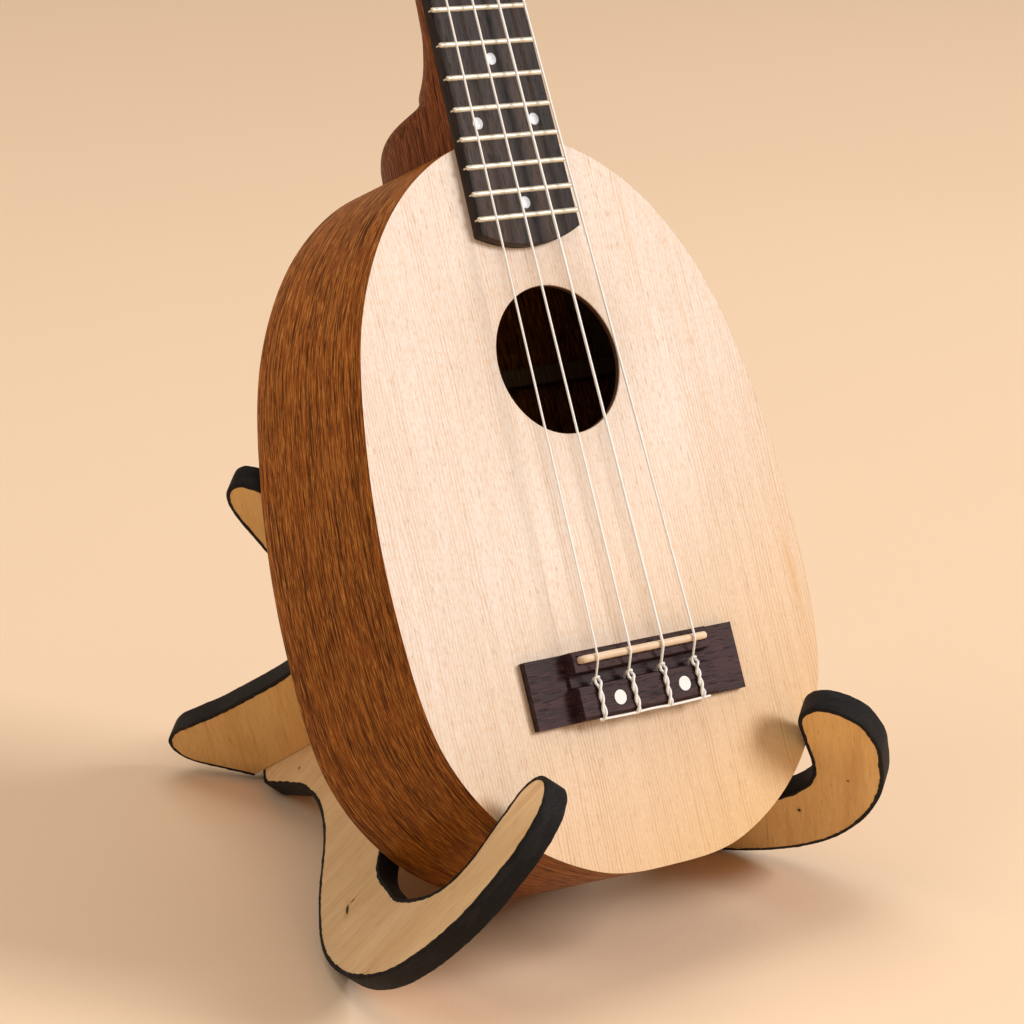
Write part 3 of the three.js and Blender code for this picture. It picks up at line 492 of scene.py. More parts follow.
def mahogany(name, dark, mid, light, painted_shading=0.0, vector_of=Paint.grain):
    """Mahogany with open pores. A non-zero share after the colours paints light into the colour: painted
    shade near the tail and a painted sheen further round the rim.
    """
    p = Paint(name, Specular_IOR_Level=0.1)
    g = vector_of(p)
    drift = p.noise(p.stretch(g, 9, 70, 70), 3)
    figure = p.noise(p.stretch(p.shift(g, 1, 0, 0), 30, 520, 520), 4, 0.6)
    fibres = p.noise(p.stretch(g, 70, 2300, 2300), 3, 0.6)
    pores = p.ramp(p.noise(p.stretch(p.shift(g, 0, 2, 5), 85, 2000, 2000), 2, 0.55), 0.56, 0.62)
    long_pores = p.ramp(p.noise(p.stretch(p.shift(g, 5, 1, 0), 30, 1500, 1500), 2, 0.5), 0.60, 0.65)
    sparks = p.ramp(p.noise(p.stretch(p.shift(g, 2, 6, 1), 180, 2300, 2300), 2, 0.6), 0.52, 0.61)
    color = p.mix(p.ramp(drift, 0.32, 0.68), mid, scaled(mid, 1.3))
    color = p.mix(p.ramp(figure, 0.47, 0.72, 0.0, 0.35), color, light)
    color = p.mix(p.ramp(figure, 0.50, 0.28, 0.0, 0.4), color, dark)
    color = p.mix(p.ramp(fibres, 0.40, 0.56, 0.5, 0.0), color, dark)
    color = p.mix(p.times(sparks, 0.75), color, light)
    holes = p.maths("MAXIMUM", pores, long_pores)
    color = p.mix(p.times(holes, 0.78), color, scaled(dark, 0.38))
    # Painted light: the colour is made darker near the tail as painted shade and lighter further round the
    # rim as a painted sheen.
    if painted_shading:
        from_tail = p.maths("ABSOLUTE", p.node("SeparateXYZ", {"Vector": g}))
        shading_tint = p.mix(p.ramp(from_tail, 0.06, 0.36), (1 - painted_shading, 1 - painted_shading, 0.55), (1 + painted_shading, 1 + painted_shading, 1.5))
        color = p.mix(1.0, color, shading_tint, "MULTIPLY")
    height = p.maths("SUBTRACT", p.times(fibres, 0.4), holes)
    return p.done(color, p.ramp(holes, 0.0, 1.0, 0.42, 0.65), height, 0.00008)


def dark_wood(name, vector_of, base, streak, fleck, roughness):
    """Rosewood: near black, with brown streaks and short pores along the grain."""
    p = Paint(name, Specular_IOR_Level=0.25)
    g = vector_of(p)
    bands = p.noise(p.stretch(g, 5, 210, 210), 3, 0.55)
    fibres = p.noise(p.stretch(g, 120, 2100, 2100), 3, 0.6)
    pores = p.ramp(p.noise(p.stretch(p.shift(g, 4, 1, 2), 190, 1600, 1600), 2), 0.60, 0.68)
    scuffs = p.ramp(p.noise(p.stretch(g, 420, 420, 420), 3, 0.7), 0.60, 0.80)
    color = p.mix(p.ramp(bands, 0.46, 0.66), base, streak)
    color = p.mix(p.ramp(fibres, 0.48, 0.62, 0.0, 0.75), color, fleck)
    color = p.mix(p.times(pores, 0.8), color, scaled(base, 0.25))
    color = p.mix(p.times(scuffs, 0.12), color, (0.16, 0.13, 0.12))
    height = p.maths("SUBTRACT", p.times(fibres, 0.5), pores)
    return p.done(color, p.ramp(fibres, 0.3, 0.7, roughness - 0.08, roughness + 0.1), height, 0.00007)


def plywood(name, matrix, angle, pale, deep, stain, seed, knots):
    """A rotary-cut face veneer: broad soft bands, a few streaks, and grey or orange marks. The knots list
    their place on the plate and their size along and across the grain, all in millimetres."""
    p = Paint(name, Specular_IOR_Level=0.25)
    turn = Matrix.Rotation(math.radians(angle), 4, "Z")
    g = p.cad(matrix @ turn)
    bands = p.noise(p.stretch(p.shift(g, seed, 0, 0), 7, 62, 4), 3, 0.55, 0.25)
    fibres = p.noise(p.stretch(g, 90, 1500, 900), 4, 0.65)
    ticks = p.ramp(p.noise(p.stretch(p.shift(g, 0, seed, 0), 150, 1500, 60), 2), 0.62, 0.74)
    lines = p.ramp(p.noise(p.stretch(p.shift(g, 0, seed, 0), 11, 420, 60), 2), 0.60, 0.74)
    streaks = p.ramp(p.noise(p.stretch(p.shift(g, 2, seed, 1), 9, 90, 3), 2), 0.60, 0.66)
    mottle = p.ramp(p.noise(p.stretch(g, 38, 60, 40), 4, 0.6), 0.35, 0.70)
    grime = p.ramp(p.noise(p.stretch(p.shift(g, 1, 3, seed), 46, 110, 40), 4, 0.7), 0.66, 0.80)
    color = p.mix(p.ramp(bands, 0.3, 0.7), pale, deep)
    color = p.mix(p.times(mottle, 0.3), color, scaled(pale, 1.12))
    color = p.mix(p.times(streaks, 0.22), color, stain)
    color = p.mix(p.times(lines, 0.22), color, stain)
    color = p.mix(p.ramp(fibres, 0.38, 0.62, 0.2, 0.0), color, stain)
    color = p.mix(p.times(ticks, 0.35), color, scaled(stain, 0.55))
    color = p.mix(p.times(grime, 0.3), color, (0.16, 0.09, 0.04))
    holes = 0.0
    for s, t, along, across in knots:
        middle = turn.inverted() @ Vector((s, t, 0)) * MM
        near = p.near(g, middle.x, middle.y, along * MM, across * MM)
        wavy = p.maths("ADD", near, p.ramp(fibres, 0.3, 0.7, -0.15, 0.15))
        holes = p.maths("MAXIMUM", p.ramp(wavy, 0.8, 1.15, 1.0, 0.0), holes)
        color = p.mix(p.ramp(wavy, 0.9, 3.0, 0.4, 0.0), color, stain)
    color = p.mix(holes, color, (0.022, 0.008, 0.004))
    height = p.maths("SUBTRACT", fibres, p.maths("ADD", p.times(holes, 2.0), lines))
    return p.done(color, p.ramp(fibres, 0.3, 0.7, 0.65, 0.55), height, 0.00008)


def inside_shade_wood():
    """Wood of the inside, seen through the sound hole, painted dim brown as shade: darker than the bare wood
    would be.
    """
    p = Paint("inside_painted_shade", roughness=0.85)
    g = p.cad(UKULELE, (1, 0, 2))
    fibres = p.noise(p.stretch(g, 60, 900, 900), 3)
    color = p.mix(p.ramp(fibres, 0.35, 0.65), (0.10, 0.055, 0.028), (0.17, 0.10, 0.055))
    return p.done(color, None, fibres, 0.0001)


def strip_rubber():
    """Matte black edging: fine tooth, scuffed lighter here and there."""
    p = Paint("black_edging", Specular_IOR_Level=0.2)
    g = p.grain()
    fine = p.noise(p.stretch(g, 1500, 1500, 1500), 3, 0.7)
    broad = p.noise(p.stretch(g, 55, 160, 160), 4, 0.6)
    scuff = p.ramp(broad, 0.52, 0.74)
    ribs = p.noise(p.stretch(g, 900, 60, 60), 2)
    color = p.mix(p.times(scuff, 0.7), (0.0062, 0.0052, 0.0056), (0.024, 0.022, 0.025))
    color = p.mix(p.ramp(fine, 0.55, 0.75, 0.0, 0.4), color, (0.030, 0.028, 0.030))
    height = p.maths("ADD", fine, p.times(ribs, 0.6))
    return p.done(color, p.ramp(fine, 0.3, 0.7, 0.78, 0.62), height, 0.00016)


def mottled(name, a, b, roughness, scale, bump=0.00003, **fixed):
    """A smooth material with a soft cloud of two colours and a fine unevenness."""
    p = Paint(name, **fixed)
    v = p.place()
    cloud = p.noise(p.stretch(v, scale, scale, scale), 3, 0.6)
    fine = p.noise(p.stretch(v, 2600, 2600, 2600), 2)
    rough = p.ramp(cloud, 0.3, 0.7, roughness - 0.07, roughness + 0.09)
    return p.done(p.mix(p.ramp(cloud, 0.32, 0.68), a, b), rough, fine, bump)


SPRUCE = soundboard_wood()
BODY_COLORS = (0.055, 0.0125, 0.0008), (0.285, 0.076, 0.0055), (0.66, 0.27, 0.05)
NECK_COLORS = (0.062, 0.0155, 0.0045), (0.190, 0.053, 0.0150), (0.33, 0.108, 0.034)
# The body's mahogany carries painted shade near the tail and a painted sheen further round the rim.
SIDE_WOOD = mahogany("mahogany_body", *BODY_COLORS, painted_shading=0.3)
NECK_WOOD = mahogany("mahogany_neck", *NECK_COLORS)
HEAD_WOOD = mahogany("mahogany_headstock", *NECK_COLORS, vector_of=lambda p: p.cad(HEAD, (1, 0, 2)))
BOARD_WOOD = dark_wood("fretboard_rosewood", Paint.grain, (0.0118, 0.0088, 0.0092), (0.058, 0.032, 0.022),
                       (0.052, 0.035, 0.028), 0.58)
BRIDGE_WOOD = dark_wood("bridge_rosewood", lambda p: p.cad(UKULELE), (0.0180, 0.0062, 0.0076),
                        (0.044, 0.0175, 0.0195), (0.084, 0.040, 0.043), 0.6)
INSIDE_SHADE = inside_shade_wood()
RUBBER = strip_rubber()
BONE = mottled("cream_bone", (0.70, 0.52, 0.36), (0.78, 0.61, 0.44), 0.5, 190.0, Subsurface_Weight=0.08,
               Subsurface_Radius=(0.002, 0.0014, 0.0008))
PEARL = mottled("pearl_dots", (0.42, 0.46, 0.52), (0.56, 0.59, 0.64), 0.4, 900.0, Coat_Weight=0.2)
WHITE = mottled("white_caps", (0.74, 0.73, 0.72), (0.80, 0.79, 0.78), 0.4, 700.0)
HOLE_EDGE = mottled("hole_edge", (0.075, 0.028, 0.012), (0.12, 0.048, 0.02), 0.6, 1200.0)
NYLON = mottled("nylon_string", (0.84, 0.83, 0.81), (0.88, 0.87, 0.85), 0.36, 120.0, Specular_IOR_Level=0.6,
                Subsurface_Weight=0.15, Subsurface_Radius=(0.001, 0.001, 0.001))
FRET_WIRE = mottled("fret_wire", (0.70, 0.65, 0.54), (0.78, 0.73, 0.62), 0.45, 260.0, bump=0.000006,
                    metallic=0.7)
NICKEL = mottled("nickel_plate", (0.66, 0.66, 0.65), (0.78, 0.78, 0.77), 0.24, 260.0, bump=0.000003,
                 metallic=1.0)
BUTTON = mottled("button_plastic", (0.78, 0.75, 0.66), (0.87, 0.85, 0.77), 0.28, 120.0, bump=0.000008,
                 Coat_Weight=0.3)
FACES = {
    "left": plywood("plywood_left", PLATES["left"], 30, (0.86, 0.635, 0.375), (0.72, 0.48, 0.235),
                    (0.50, 0.25, 0.08), 0.4,
                    [(-98.1, -101.6, 0.8, 2.4), (-96.5, -98.5, 1.1, 0.4), (-190.7, -13.9, 0.5, 0.7)]),
    "right": plywood("plywood_right", PLATES["right"], 40, (0.83, 0.56, 0.24), (0.72, 0.44, 0.155),
                     (0.44, 0.20, 0.05), 2.3,
                     [(-44.5, -121.3, 0.9, 0.6), (-12, -118, 0.5, 0.4)]),
}


# ------------------------------------------------------------------ ukulele body
def around(outline, height):
    """An outline as a ring at a height that may depend on y."""
    z = [height(y) if callable(height) else height for y in outline[:, 1]]
    return np.column_stack([outline, z])


def build_soundboard():
    """The top with a rounded edge at its hole, and the dark wall inside the hole."""
    middle = np.array(HOLE_SPOT)
    spoke = RIM - middle
    spoke /= np.linalg.norm(spoke, axis=1)[:, None]

    def hole_rings(profile):
        return [around(middle + spoke * (HOLE_R + wider), z) for wider, z in profile]

    edge = offset(RIM, -TOP_INSET)
    halfway = middle + (edge - middle) * 0.5 + spoke * HOLE_R * 0.5
    rings = hole_rings([(0, -TOP_THICK), (0, -0.5), (0.12, -0.16), (0.45, 0)])
    rings += [around(halfway, 0), around(edge, 0), around(edge, -TOP_THICK)]
    shell = Shell()
    shell.rings(rings, loop=True)
    shell.piece("soundboard_top", "ukulele", SPRUCE, replaces=["soundboard"])

    wall = Shell()
    rings = hole_rings([(0.02, -0.42), (-0.12, -0.55), (-0.12, -TOP_THICK), (0.02, -TOP_THICK)])
    wall.rings(rings, loop=True)
    wall.piece("sound_hole_edge", "ukulele", HOLE_EDGE)


def build_sides():
    """The sides in one piece, with rounded edges and the grain along the rim, and the back between them."""
    run = np.concatenate([[0], np.cumsum(np.linalg.norm(np.diff(RIM, axis=0), axis=1))])
    run = np.minimum(run, run[-1] - run) * np.sign(RIM[:, 0] + 1e-9)     # x = 0 counts as the right half
    rings = [around(offset(RIM, -inset), z) for inset, z in SIDE_ROUNDING]
    rings += [around(RIM, lambda y, part=part: -depth(y) * part - 0.4) for part in (0.2, 0.4, 0.6, 0.8)]
    rings += [around(offset(RIM, -inset), lambda y, lift=lift: lift - depth(y))
              for inset, lift in BACK_ROUNDING]
    inner = offset(RIM, -SIDE_THICK)
    rings += [around(inner, lambda y: -depth(y)), around(inner, -TOP_THICK)]
    rings += [around(offset(RIM, -SIDE_INSET), -TOP_THICK)]
    grain = [np.column_stack([run, ring[:, 2], np.full(len(run), SIDE_GRAIN_DEPTH * k / len(rings))])
             for k, ring in enumerate(rings)]
    shell = Shell()
    shell.rings(rings, grain=grain, loop=True)
    shell.piece("body_sides", "ukulele", SIDE_WOOD, replaces=["side_right", "side_left"])

    back = Shell()
    flat = offset(RIM, -BACK_INSET)
    back.rings([around(flat, lambda y: BACK_THICK - depth(y)), around(flat, lambda y: -depth(y))])
    back.piece("back_plate", "ukulele", SIDE_WOOD, replaces=["back_panel"])


# ------------------------------------------------------------------ neck
def build_neck():
    """Half rounds from the heel to the nut, with the depth and the fullness of NECK_STATIONS. The first one
    follows the rim of the body."""
    ys = np.concatenate([np.arange(178, 186, 1.5), np.arange(186, 200, 0.75), np.arange(200, 214, 1.5),
                         np.arange(214, 345, 8), [SCALE, SCALE + 3]])
    table = np.array(spline(NECK_STATIONS, 12))
    table = table[np.argsort(table[:, 0])]
    shoulder = RIM[RIM[:, 1] > SHOULDER_Y]
    shoulder = shoulder[np.argsort(shoulder[:, 0])]
    rings = []
    for y in [None, *ys]:
        ring = []
        fullness = np.interp(y or HEEL_MIDDLE, table[:, 0], table[:, 2])
        for i in range(NECK_SIDES + 1):
            a = math.pi * i / NECK_SIDES
            x = board_half(y or HEEL_MIDDLE) * math.copysign(abs(math.cos(a)) ** fullness, math.cos(a))
            at = y or np.interp(x, shoulder[:, 0], shoulder[:, 1]) - NECK_OVERLAP
            deep = np.interp(at, table[:, 0], table[:, 1]) * math.sin(a) ** fullness
            ring.append((x, at, -deep + NECK_RISE))
        rings.append(ring)
    shell = Shell()
    shell.rings(rings)
    shell.piece("neck_shaft", "ukulele", NECK_WOOD, replaces=["neck"], sharp=50)


def build_headstock():
    """A slab with rounded edges, bored for the posts. At the nut it narrows to the half round of the neck."""
    right = spline([(NUT_HALF, 0), *HEAD_FLARE], 8)[1:]
    crown = spline([HEAD_FLARE[-1], *HEAD_CROWN], 8)
    left = spline([HEAD_CROWN[-1], *[(-x, y) for x, y in HEAD_FLARE[-2::-1]]], 8)
    outline = np.array([(-NUT_HALF, 0), (NUT_HALF, 0), *right, *crown, *left])
    neck_depth = NECK_STATIONS[-1][1]
    rings = []
    for inset, z in ((0.9, 0), (0.3, -0.25), (0, -0.9), (0, -3), (0, -5), (0, -7), (0, -9),
                     (0, 0.9 - HEAD_THICK), (0.3, 0.25 - HEAD_THICK), (0.9, -HEAD_THICK)):
        ring = around(offset(outline, -inset), z)
        narrowing = 1 - math.sqrt(1 - (z / neck_depth) ** 2)
        ring[:, 0] *= 1 - narrowing * np.clip(1 - ring[:, 1] / NUT_BLEND, 0, 1) ** 2
        rings.append(ring)
    shell = Shell()
    shell.rings(rings)
    head = shell.piece("headstock", "ukulele", HEAD_WOOD, at=HEAD, replaces=["neck"])
    radius = POST_BORE * MM
    for x, y in POSTS:
        work = bmesh.new()
        bmesh.ops.create_cone(work, cap_ends=True, segments=32, radius1=radius, radius2=radius,
                              depth=BORE_DEPTH * MM, matrix=Matrix.Translation((x * MM, y * MM, 0)))
        cutter = from_bmesh("bore", work)
        cutter.matrix_world = HEAD
        apply_boolean(head, cutter)


def apply_boolean(target, cutter):
    """Cuts one object out of another for good, and removes the cutter."""
    cut = target.modifiers.new("cut", "BOOLEAN")
    cut.object = cutter
    cut.solver = "EXACT"
    bpy.context.view_layer.update()
    done = bpy.data.meshes.new_from_object(target.evaluated_get(bpy.context.evaluated_depsgraph_get()))
    target.modifiers.remove(cut)
    target.data = done
    bpy.data.objects.remove(cutter)


def build_fretboard():
    """The tapered slab, with an arc at its lower end."""
    corner = BOARD_END + BOARD_END_RISE
    half = board_half(corner)
    radius = (half * half + BOARD_END_RISE ** 2) / (2 * BOARD_END_RISE)
    spread = math.asin(half / radius)
    arc = [(radius * math.sin(a), BOARD_END + radius - radius * math.cos(a))
           for a in np.linspace(-spread, spread, 33)]
    right = [(board_half(y), y) for y in np.linspace(corner, SCALE - 0.1, 40)[1:]]
    left = [(-x, y) for x, y in right[::-1]]
    outline = np.array(arc + right + left)
    shell = Shell()
    shell.rings([around(offset(outline, -inset), z) for inset, z in (
        (0, 0.02), (0, BOARD_TOP - 0.9), (0.12, BOARD_TOP - 0.4), (0.4, BOARD_TOP - 0.1), (0.9, BOARD_TOP))])
    shell.piece("fretboard_slab", "ukulele", BOARD_WOOD, replaces=["fretboard"])


def build_frets():
    """Half-round wires, a little wider than the board, with the ends of their tangs in the board's sides."""
    shell = Shell()
    crown = np.linspace(0, math.pi, 11)
    for n in range(1, FRETS + 1):
        y = fret_y(n)
        reach = board_half(y) + FRET_OVERHANG
        rings = []
        for x in (-reach, -reach + 0.25, -reach + FRET_END, 0, reach - FRET_END, reach - 0.25, reach):
            fall = math.sqrt(min(1.0, (reach - abs(x)) / FRET_END))
            r = FRET_R * min(1.0, 0.72 + 0.28 * fall)
            rings.append([(x, y + r * math.cos(t), BOARD_TOP - 0.05 + r * math.sin(t)) for t in crown])
        shell.rings(rings)
        for side in (-1, 1):
            ends = sorted((side * (reach - 0.7), side * (reach - 0.2)))
            shell.rings([[(x, y + a, BOARD_TOP + b) for a, b in TANG] for x in ends])
    shell.piece("fret_wires", "ukulele", FRET_WIRE, sharp=50,
                replaces=[f"fret_{n:02d}" for n in range(1, FRETS + 1)])


def build_dots():
    """The pearl dots, halfway between two frets."""
    shell = Shell()
    profile = [(DOT_R, BOARD_TOP - 0.6), (DOT_R, BOARD_TOP + 0.01), (DOT_R - 0.2, BOARD_TOP + 0.05)]
    for x, n in DOTS:
        y = (fret_y(n) + fret_y(n - 1)) / 2
        shell.lathe(profile, 32, lambda a, b, c, x=x, y=y: (x + a, y + b, c))
    shell.piece("fret_markers", "ukulele", PEARL)


# ------------------------------------------------------------------ strings
def string_x(i, spacing):
    return (i - 1.5) * spacing


def head_point(x, y, z):
    """A place given in the headstock's frame, in the ukulele's."""
    c, s = math.cos(HEAD_ANGLE), math.sin(HEAD_ANGLE)
    return (x, SCALE + y * c + z * s, -y * s + z * c)


def build_strings():
    """Each string from the tie block over the saddle and the nut to the windings on its post."""
    for i, r in enumerate(STRING_RADII):
        xs, xn = string_x(i, STRING_X_SADDLE), string_x(i, STRING_X_NUT)
        tied = [(xs, TIE_BACK + 1, TIE_HOLE_Z), (xs, TIE_FRONT, TIE_HOLE_Z),
                (xs, TIE_FRONT + 1.1, TIE_HOLE_Z + 0.4), (xs + 0.1, TIE_FRONT + 1.9, 6.9),
                (xs + 0.2, TIE_FRONT + 2.2, 8.1), (xs + 0.2, TIE_FRONT + 2.9, 8.8)]
        bend = [(xs, SADDLE_Y + dy, SADDLE_STRING_Z + dz)
                for dy, dz in ((-1.9, -0.75), (-0.9, -0.15), (0, 0), (1.2, -0.02))]
        span = [(xs + (xn - xs) * t, SADDLE_Y + 1.2 + (SCALE - SADDLE_Y - 1.2) * t,
                 SADDLE_STRING_Z + (NUT_STRING_Z - SADDLE_STRING_Z) * t) for t in np.linspace(0.05, 1, 12)]
        lead = [(xn, SCALE + 4.4, NUT_STRING_Z - 0.15)]
        px, py = POSTS[i]
        side = -math.copysign(1, px)
        coil = POST_R + r
        wound = [head_point(px + side * coil * math.cos(a), py + coil * math.sin(a),
                            WRAP_Z + 1.3 - a * WINDING_STEP)
                 for a in np.linspace(0, WINDINGS * 2 * math.pi, 100)]
        shell = Shell()
        shell.tube(tied + bend + span + lead + wound, r, sides=12)
        shell.piece(f"string_line_{i + 1}", "ukulele", NYLON, replaces=[f"string_{i + 1}"])


def build_ties():
    """Each string's end: a loop over the tie block, twisted on itself, with a ring and a knob, and one tail
    tucked along the block's back edge."""
    shell = Shell()
    r = TIE_R
    top = TIE_TOP + r + 0.3
    bends = [(TIE_FRONT + 2.0, 7.2), (TIE_FRONT + 1.6, 8.3), (TIE_FRONT + 0.3, top + 0.1),
             (TIE_FRONT - 1.6, top + 0.25), (TIE_FRONT - 4.5, top + 0.1), (TIE_BACK + 2.6, top),
             (TIE_BACK + 0.6, top - 0.1), (TIE_BACK - 0.55, top - 1.1), (TIE_BACK - 0.8, top - 2.6)]
    line = respaced(spline(bends, 10) + [np.array(bends[-1])], count=90, closed=False)
    t = np.linspace(0, 1, len(line))
    spread = r + 0.5 * np.exp(-((t - 0.13) / 0.07) ** 2)
    circle = np.linspace(0, 2 * math.pi * 0.97, 28)
    knob = [(q * (r + 0.2), z) for q, z in ((0.05, -0.7), (0.6, -0.4), (0.8, 0), (0.6, 0.4), (0.05, 0.7))]
    for i, lean in enumerate(TIE_LEANS):
        x = string_x(i, STRING_X_SADDLE) + TIE_SHIFT
        for phase in (0, math.pi):
            turn = phase + 2 * math.pi * (1.35 + 0.15 * i) * np.clip((t - 0.12) / 0.76, 0, 1)
            rise = np.clip(np.sin(turn), -0.6, 1) * 0.8
            shell.tube(np.column_stack([x + lean * (t - 0.1) + spread * np.cos(turn), line[:, 0],
                                        line[:, 1] + spread * rise]), r)
        shell.tube(np.column_stack([x + (r + 0.5) * np.cos(circle), TIE_FRONT + 2.0 + 0.35 * np.sin(circle),
                                    8.15 + (r + 0.5) * np.sin(circle)]), r * 0.9)
        shell.lathe(knob, 14, lambda a, b, c, x=x, lean=lean: (
            x + lean + c * 0.9, TIE_BACK - 0.55 + a, TIE_TOP - 0.3 + b))
    reach = string_x(3, STRING_X_SADDLE)
    tail = [(-reach - 1.5, -0.5, -0.3), (-reach / 2, -0.75, -0.5), (0, -0.55, -0.35), (reach / 2, -0.8, -0.3),
            (reach + 5, -0.5, 0.1)]
    shell.tube(spline([(x, TIE_BACK + y, TIE_TOP + z) for x, y, z in tail], 10), TIE_TAIL_R)
    shell.piece("string_ties", "ukulele", NYLON, sharp=60)


def build_saddle():
    """The bone saddle: a bar with a round crest and rounded ends."""
    length = 2 * SADDLE_REACH
    rings = []
    for t in np.concatenate([np.linspace(0.03, 1, 8) ** 2 * SADDLE_CAP, np.linspace(4, length - 4, 12),
                             length - np.linspace(1, 0.03, 8) ** 2 * SADDLE_CAP]):
        near = min(t, length - t)
        wide = SADDLE_HALF * math.sqrt(1 - (1 - min(near / SADDLE_HALF, 1)) ** 2)
        drop = SADDLE_END_DROP * (1 - math.sqrt(1 - (1 - min(near / SADDLE_END_RUN, 1)) ** 2))
        arc = [(wide * math.cos(a), SADDLE_TOP - drop - SADDLE_HALF + SADDLE_HALF * math.sin(a))
               for a in np.linspace(0, math.pi, 11)]
        rings.append([(SADDLE_X - SADDLE_REACH + t, SADDLE_Y + y, z)
                      for y, z in [(wide, SADDLE_BOTTOM), *arc, (-wide, SADDLE_BOTTOM)]])
    shell = Shell()
    shell.rings(rings)
    shell.piece("saddle_bar", "ukulele", BONE, replaces=["saddle"], sharp=60)


# ------------------------------------------------------------------ tuning machines
def build_key(i):
    """A shaft with a collar and a worm, a flat oval button, and the two screws of the base."""
    name = TUNERS[i]
    px, py = POSTS[i]
    out = math.copysign(1, px)
    wy = py + WORM_Y

    def place(a, b, c):
        return (px + out * c, wy + a, WORM_Z + b)

    shell = Shell()
    shell.lathe([(1.0, -6.6), (SHAFT_R, -6.3), (SHAFT_R, BUTTON_X + 3)], 20, place)
    shell.lathe([(SHAFT_R, 6.25), (1.8, 6.35), (1.8, 7.2), (1.3, 7.5)], 20, place)
    shell.tube([place(WORM_R * math.cos(2 * math.pi * t), WORM_R * math.sin(2 * math.pi * t), t * WORM_PITCH)
                for t in np.linspace(-WORM_TURNS, WORM_TURNS, 110)], WORM_CORD, sides=8)
    shell.piece(f"key_shaft_{name}", f"key_{name}", NICKEL, at=HEAD,
                replaces=[f"tuner_key_{name}"])

    outline = np.array(spline([*BUTTON_HALF, *[(a, -b) for a, b in BUTTON_HALF[::-1]]], 4))
    if out > 0:
        outline = outline[::-1]
    rings = []
    for inset, z in BUTTON_ROUNDING:
        ring = offset(outline * (-out, 1), -inset)
        rings.append([(px + out * BUTTON_X - x, wy + y, WORM_Z + z) for x, y in ring])
    button = Shell()
    button.rings(rings)
    button.piece(f"key_button_{name}", f"key_{name}", BUTTON, at=HEAD,
                 replaces=[f"tuner_key_{name}"], sharp=60)

    screws = Shell()
    for dx in (-SCREW_X, SCREW_X):
        screws.lathe([(0.9, BASE_TOP + 0.6), (0.9, BASE_TOP), (1.7, BASE_TOP - 0.1), (1.5, BASE_TOP - 0.6),
                      (0.7, BASE_TOP - 0.95)], 20, lambda a, b, c, dx=dx: (px + dx + a, py + SCREW_Y + b, c))
    screws.piece(f"base_screws_{name}", "ukulele", NICKEL, at=HEAD)


# ------------------------------------------------------------------ stand
def softened(outline):
    """A closed outline with each point averaged with its neighbours."""
    shifts = np.arange(-SOFT_REACH, SOFT_REACH + 1)
    weights = np.exp(-0.5 * (shifts / SOFT_WIDTH) ** 2)
    weights /= weights.sum()
    return sum(w * np.roll(outline, k, 0) for k, w in zip(shifts, weights))


def build_strip(side, seed):
    """The edging of a plate: a soft band with frayed borders, open where the plate's slot comes out."""
    points = [q for leg in PLATE_LEGS for q in spline(leg, 12)]
    blurred = softened(respaced(points, step=OUTLINE_STEP)[::-1])
    outline = 2 * blurred - softened(blurred)     # gives back what softening took off the round corners
    count = len(outline)
    slot_side = outline[:, 0] > LAP_MIDDLE if side == "left" else outline[:, 0] < LAP_MIDDLE
    cut = (np.abs(outline[:, 1]) < PLATE_HALF + SLOT_MARGIN) & slot_side
    order = [k for k in np.roll(np.arange(count), -1 - np.where(cut)[0].max()) if not cut[k]]
    fray = [smooth_noise(count, 1, seed + k) * FRAY_FINE + smooth_noise(count, 5, seed + 9 + k) * FRAY_BROAD
            for k in range(2)]
    wave = smooth_noise(count, 9, seed + 20) * STRIP_WAVE
    lip = [STRIP_LIP + smooth_noise(count, 1, seed + 30 + k) * FRAY_LIP for k in range(2)]
    normal = offset(outline, 1.0) - outline
    rings, grain = [], []
    for step, k in enumerate(order):
        low, high = -PLATE_HALF - 0.1 - abs(fray[0][k]), PLATE_HALF + 0.1 + abs(fray[1][k])
        outer = STRIP_THICK + wave[k]
        section = [(lip[0][k], low + 0.02), (outer - 0.35, low), (outer - 0.08, low + 0.18),
                   (outer, low + 0.5), (outer + 0.04, 0), (outer, high - 0.5), (outer - 0.08, high - 0.18),
                   (outer - 0.35, high), (lip[1][k], high - 0.02)]
        rings.append([(*(outline[k] + normal[k] * d), w) for d, w in section])
        grain.append([(step * OUTLINE_STEP, w, d) for d, w in section])
    shell = Shell()
    shell.rings(rings, grain=grain)
    strip = shell.piece(f"edging_{side}", "stand", RUBBER, at=PLATES[side],
                        replaces=[f"edge_strip_{side}"], sharp=50)
    for v in strip.data.vertices:
        v.co.z = max(v.co.z, FLOOR_GAP * MM)


# ------------------------------------------------------------------ what the CAD already shapes
def dress(node, material, bevel=0.0):
    """Gives a CAD node its material and, where wanted, softly rounded edges."""
    made = frame["nodes"][node]
    made.data.materials.clear()
    made.data.materials.append(material)
    if bevel:
        rounding = made.modifiers.new("edges", "BEVEL")
        rounding.width = bevel * MM
        rounding.segments = BEVEL_SEGMENTS
        rounding.limit_method = "ANGLE"
        rounding.angle_limit = BEVEL_ANGLE


def dress_nodes():
    """The plates, the inside, the bridge, the nut and the tuners' bases, posts and bushings."""
    # The inside (linings, blocks and braces) gets wood painted dim brown as shade.
    for side in ("left", "right"):
        dress(f"stand_plate_{side}", FACES[side])
        dress(f"bridge_screw_{side}", WHITE)
        for where in ("top", "back"):
            dress(f"{where}_lining_{side}", INSIDE_SHADE)
    for name in ("neck_block", "tail_block", "top_brace_upper", "top_brace_lower", "back_brace_upper",
                 "back_brace_lower"):
        dress(name, INSIDE_SHADE)
    dress("bridge", BRIDGE_WOOD, 0.28)
    dress("nut", BONE, 0.3)
    for name in TUNERS:
        dress(f"tuner_base_{name}", NICKEL, 0.15)
        dress(f"tuner_post_{name}", NICKEL, 0.1)
        dress(f"tuner_bushing_{name}", NICKEL, 0.1)


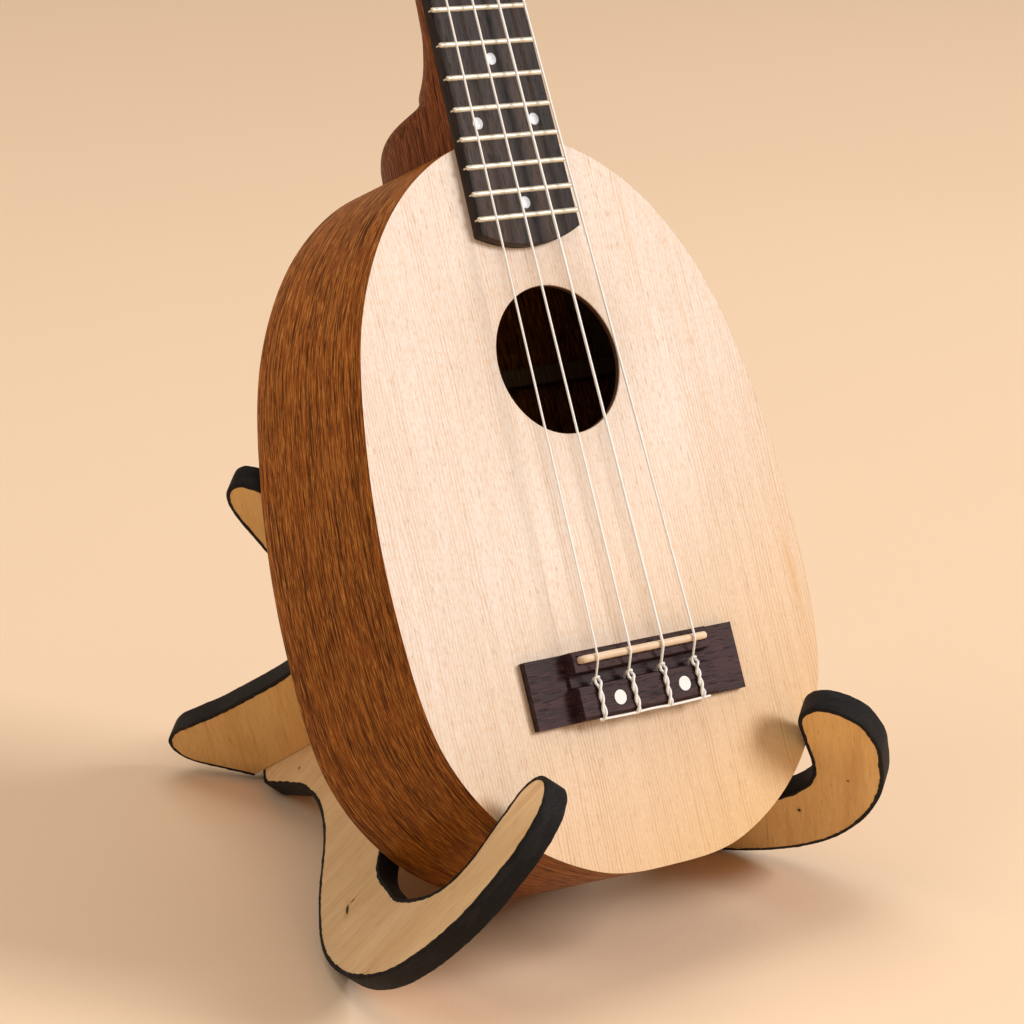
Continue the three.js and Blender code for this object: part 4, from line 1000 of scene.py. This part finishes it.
# ------------------------------------------------------------------ floor, light and camera
CAMERA_AT = UKULELE.translation + Vector((-0.7519, -0.8519, 0.4039))
FORWARD = Vector((0.607725, 0.734567, -0.301798)).normalized()
LENS = 127.3
SENSOR = 36
CLIP = 0.01, 100
FLOOR_HALF = 9            # in metres, like the places and sizes of the lights
WORLD_COLOR, WORLD_STRENGTH = (1.0, 0.83, 0.66), 0.38
AIM = (0, -0.03, 0.22)
LIGHTS = [  # name, place, aim, size, power and colour
    ("key", (2.0, -2.7, 2.1), AIM, (1.3, 1.2), 106, (1.0, 0.985, 0.985)),
    ("overhead", (0.4, 0.5, 3.0), (0.4, 0.5, 0), (2.6, 2.6), 31, (1.0, 0.92, 0.83)),
    ("fill", (-1.7, 0.2, 1.9), AIM, (1.0, 1.0), 8, (1.0, 0.95, 0.90)),
]


def look_along(made, place, direction):
    """Puts a camera or a lamp at a place, looking in a direction."""
    made.location = place
    made.rotation_mode = "QUATERNION"
    made.rotation_quaternion = direction.to_track_quat("-Z", "Y")


def build_camera():
    data = bpy.data.cameras.new("camera")
    data.lens = LENS
    data.sensor_width = SENSOR
    data.clip_start, data.clip_end = CLIP
    camera = linked("camera", data)
    look_along(camera, CAMERA_AT, FORWARD)
    bpy.context.scene.camera = camera


def build_floor():
    p = Paint("paper_backdrop", roughness=0.85, Specular_IOR_Level=0.2)
    v = p.place()
    fibre = p.noise(p.stretch(v, 900, 900, 900), 2)
    cloud = p.noise(p.stretch(v, 1.4, 1.4, 1.4), 2)
    color = p.mix(p.ramp(cloud, 0.3, 0.7), (0.90, 0.69, 0.50), (0.925, 0.715, 0.52))
    material = p.done(color, None, fibre, 0.00005)
    work = bmesh.new()
    bmesh.ops.create_grid(work, x_segments=8, y_segments=8, size=FLOOR_HALF)
    floor = from_bmesh("floor", work)
    floor.data.materials.append(material)


def build_light():
    world = bpy.data.worlds.new("studio")
    world.use_nodes = True
    background = world.node_tree.nodes["Background"]
    background.inputs["Color"].default_value = (*WORLD_COLOR, 1.0)
    background.inputs["Strength"].default_value = WORLD_STRENGTH
    bpy.context.scene.world = world
    for name, place, aim, size, power, color in LIGHTS:
        data = bpy.data.lights.new(name, "AREA")
        data.shape = "RECTANGLE"
        data.size, data.size_y = size
        data.energy = power
        data.color = color
        look_along(linked(name, data), place, Vector(aim) - Vector(place))
    bpy.context.scene.view_settings.view_transform = "Standard"


build_camera()
build_soundboard()
build_sides()
build_neck()
build_headstock()
build_fretboard()
build_frets()
build_dots()
build_strings()
build_ties()
build_saddle()
for tuner in range(len(TUNERS)):
    build_key(tuner)
build_strip("left", 11)
build_strip("right", 47)
dress_nodes()
build_floor()
build_light()
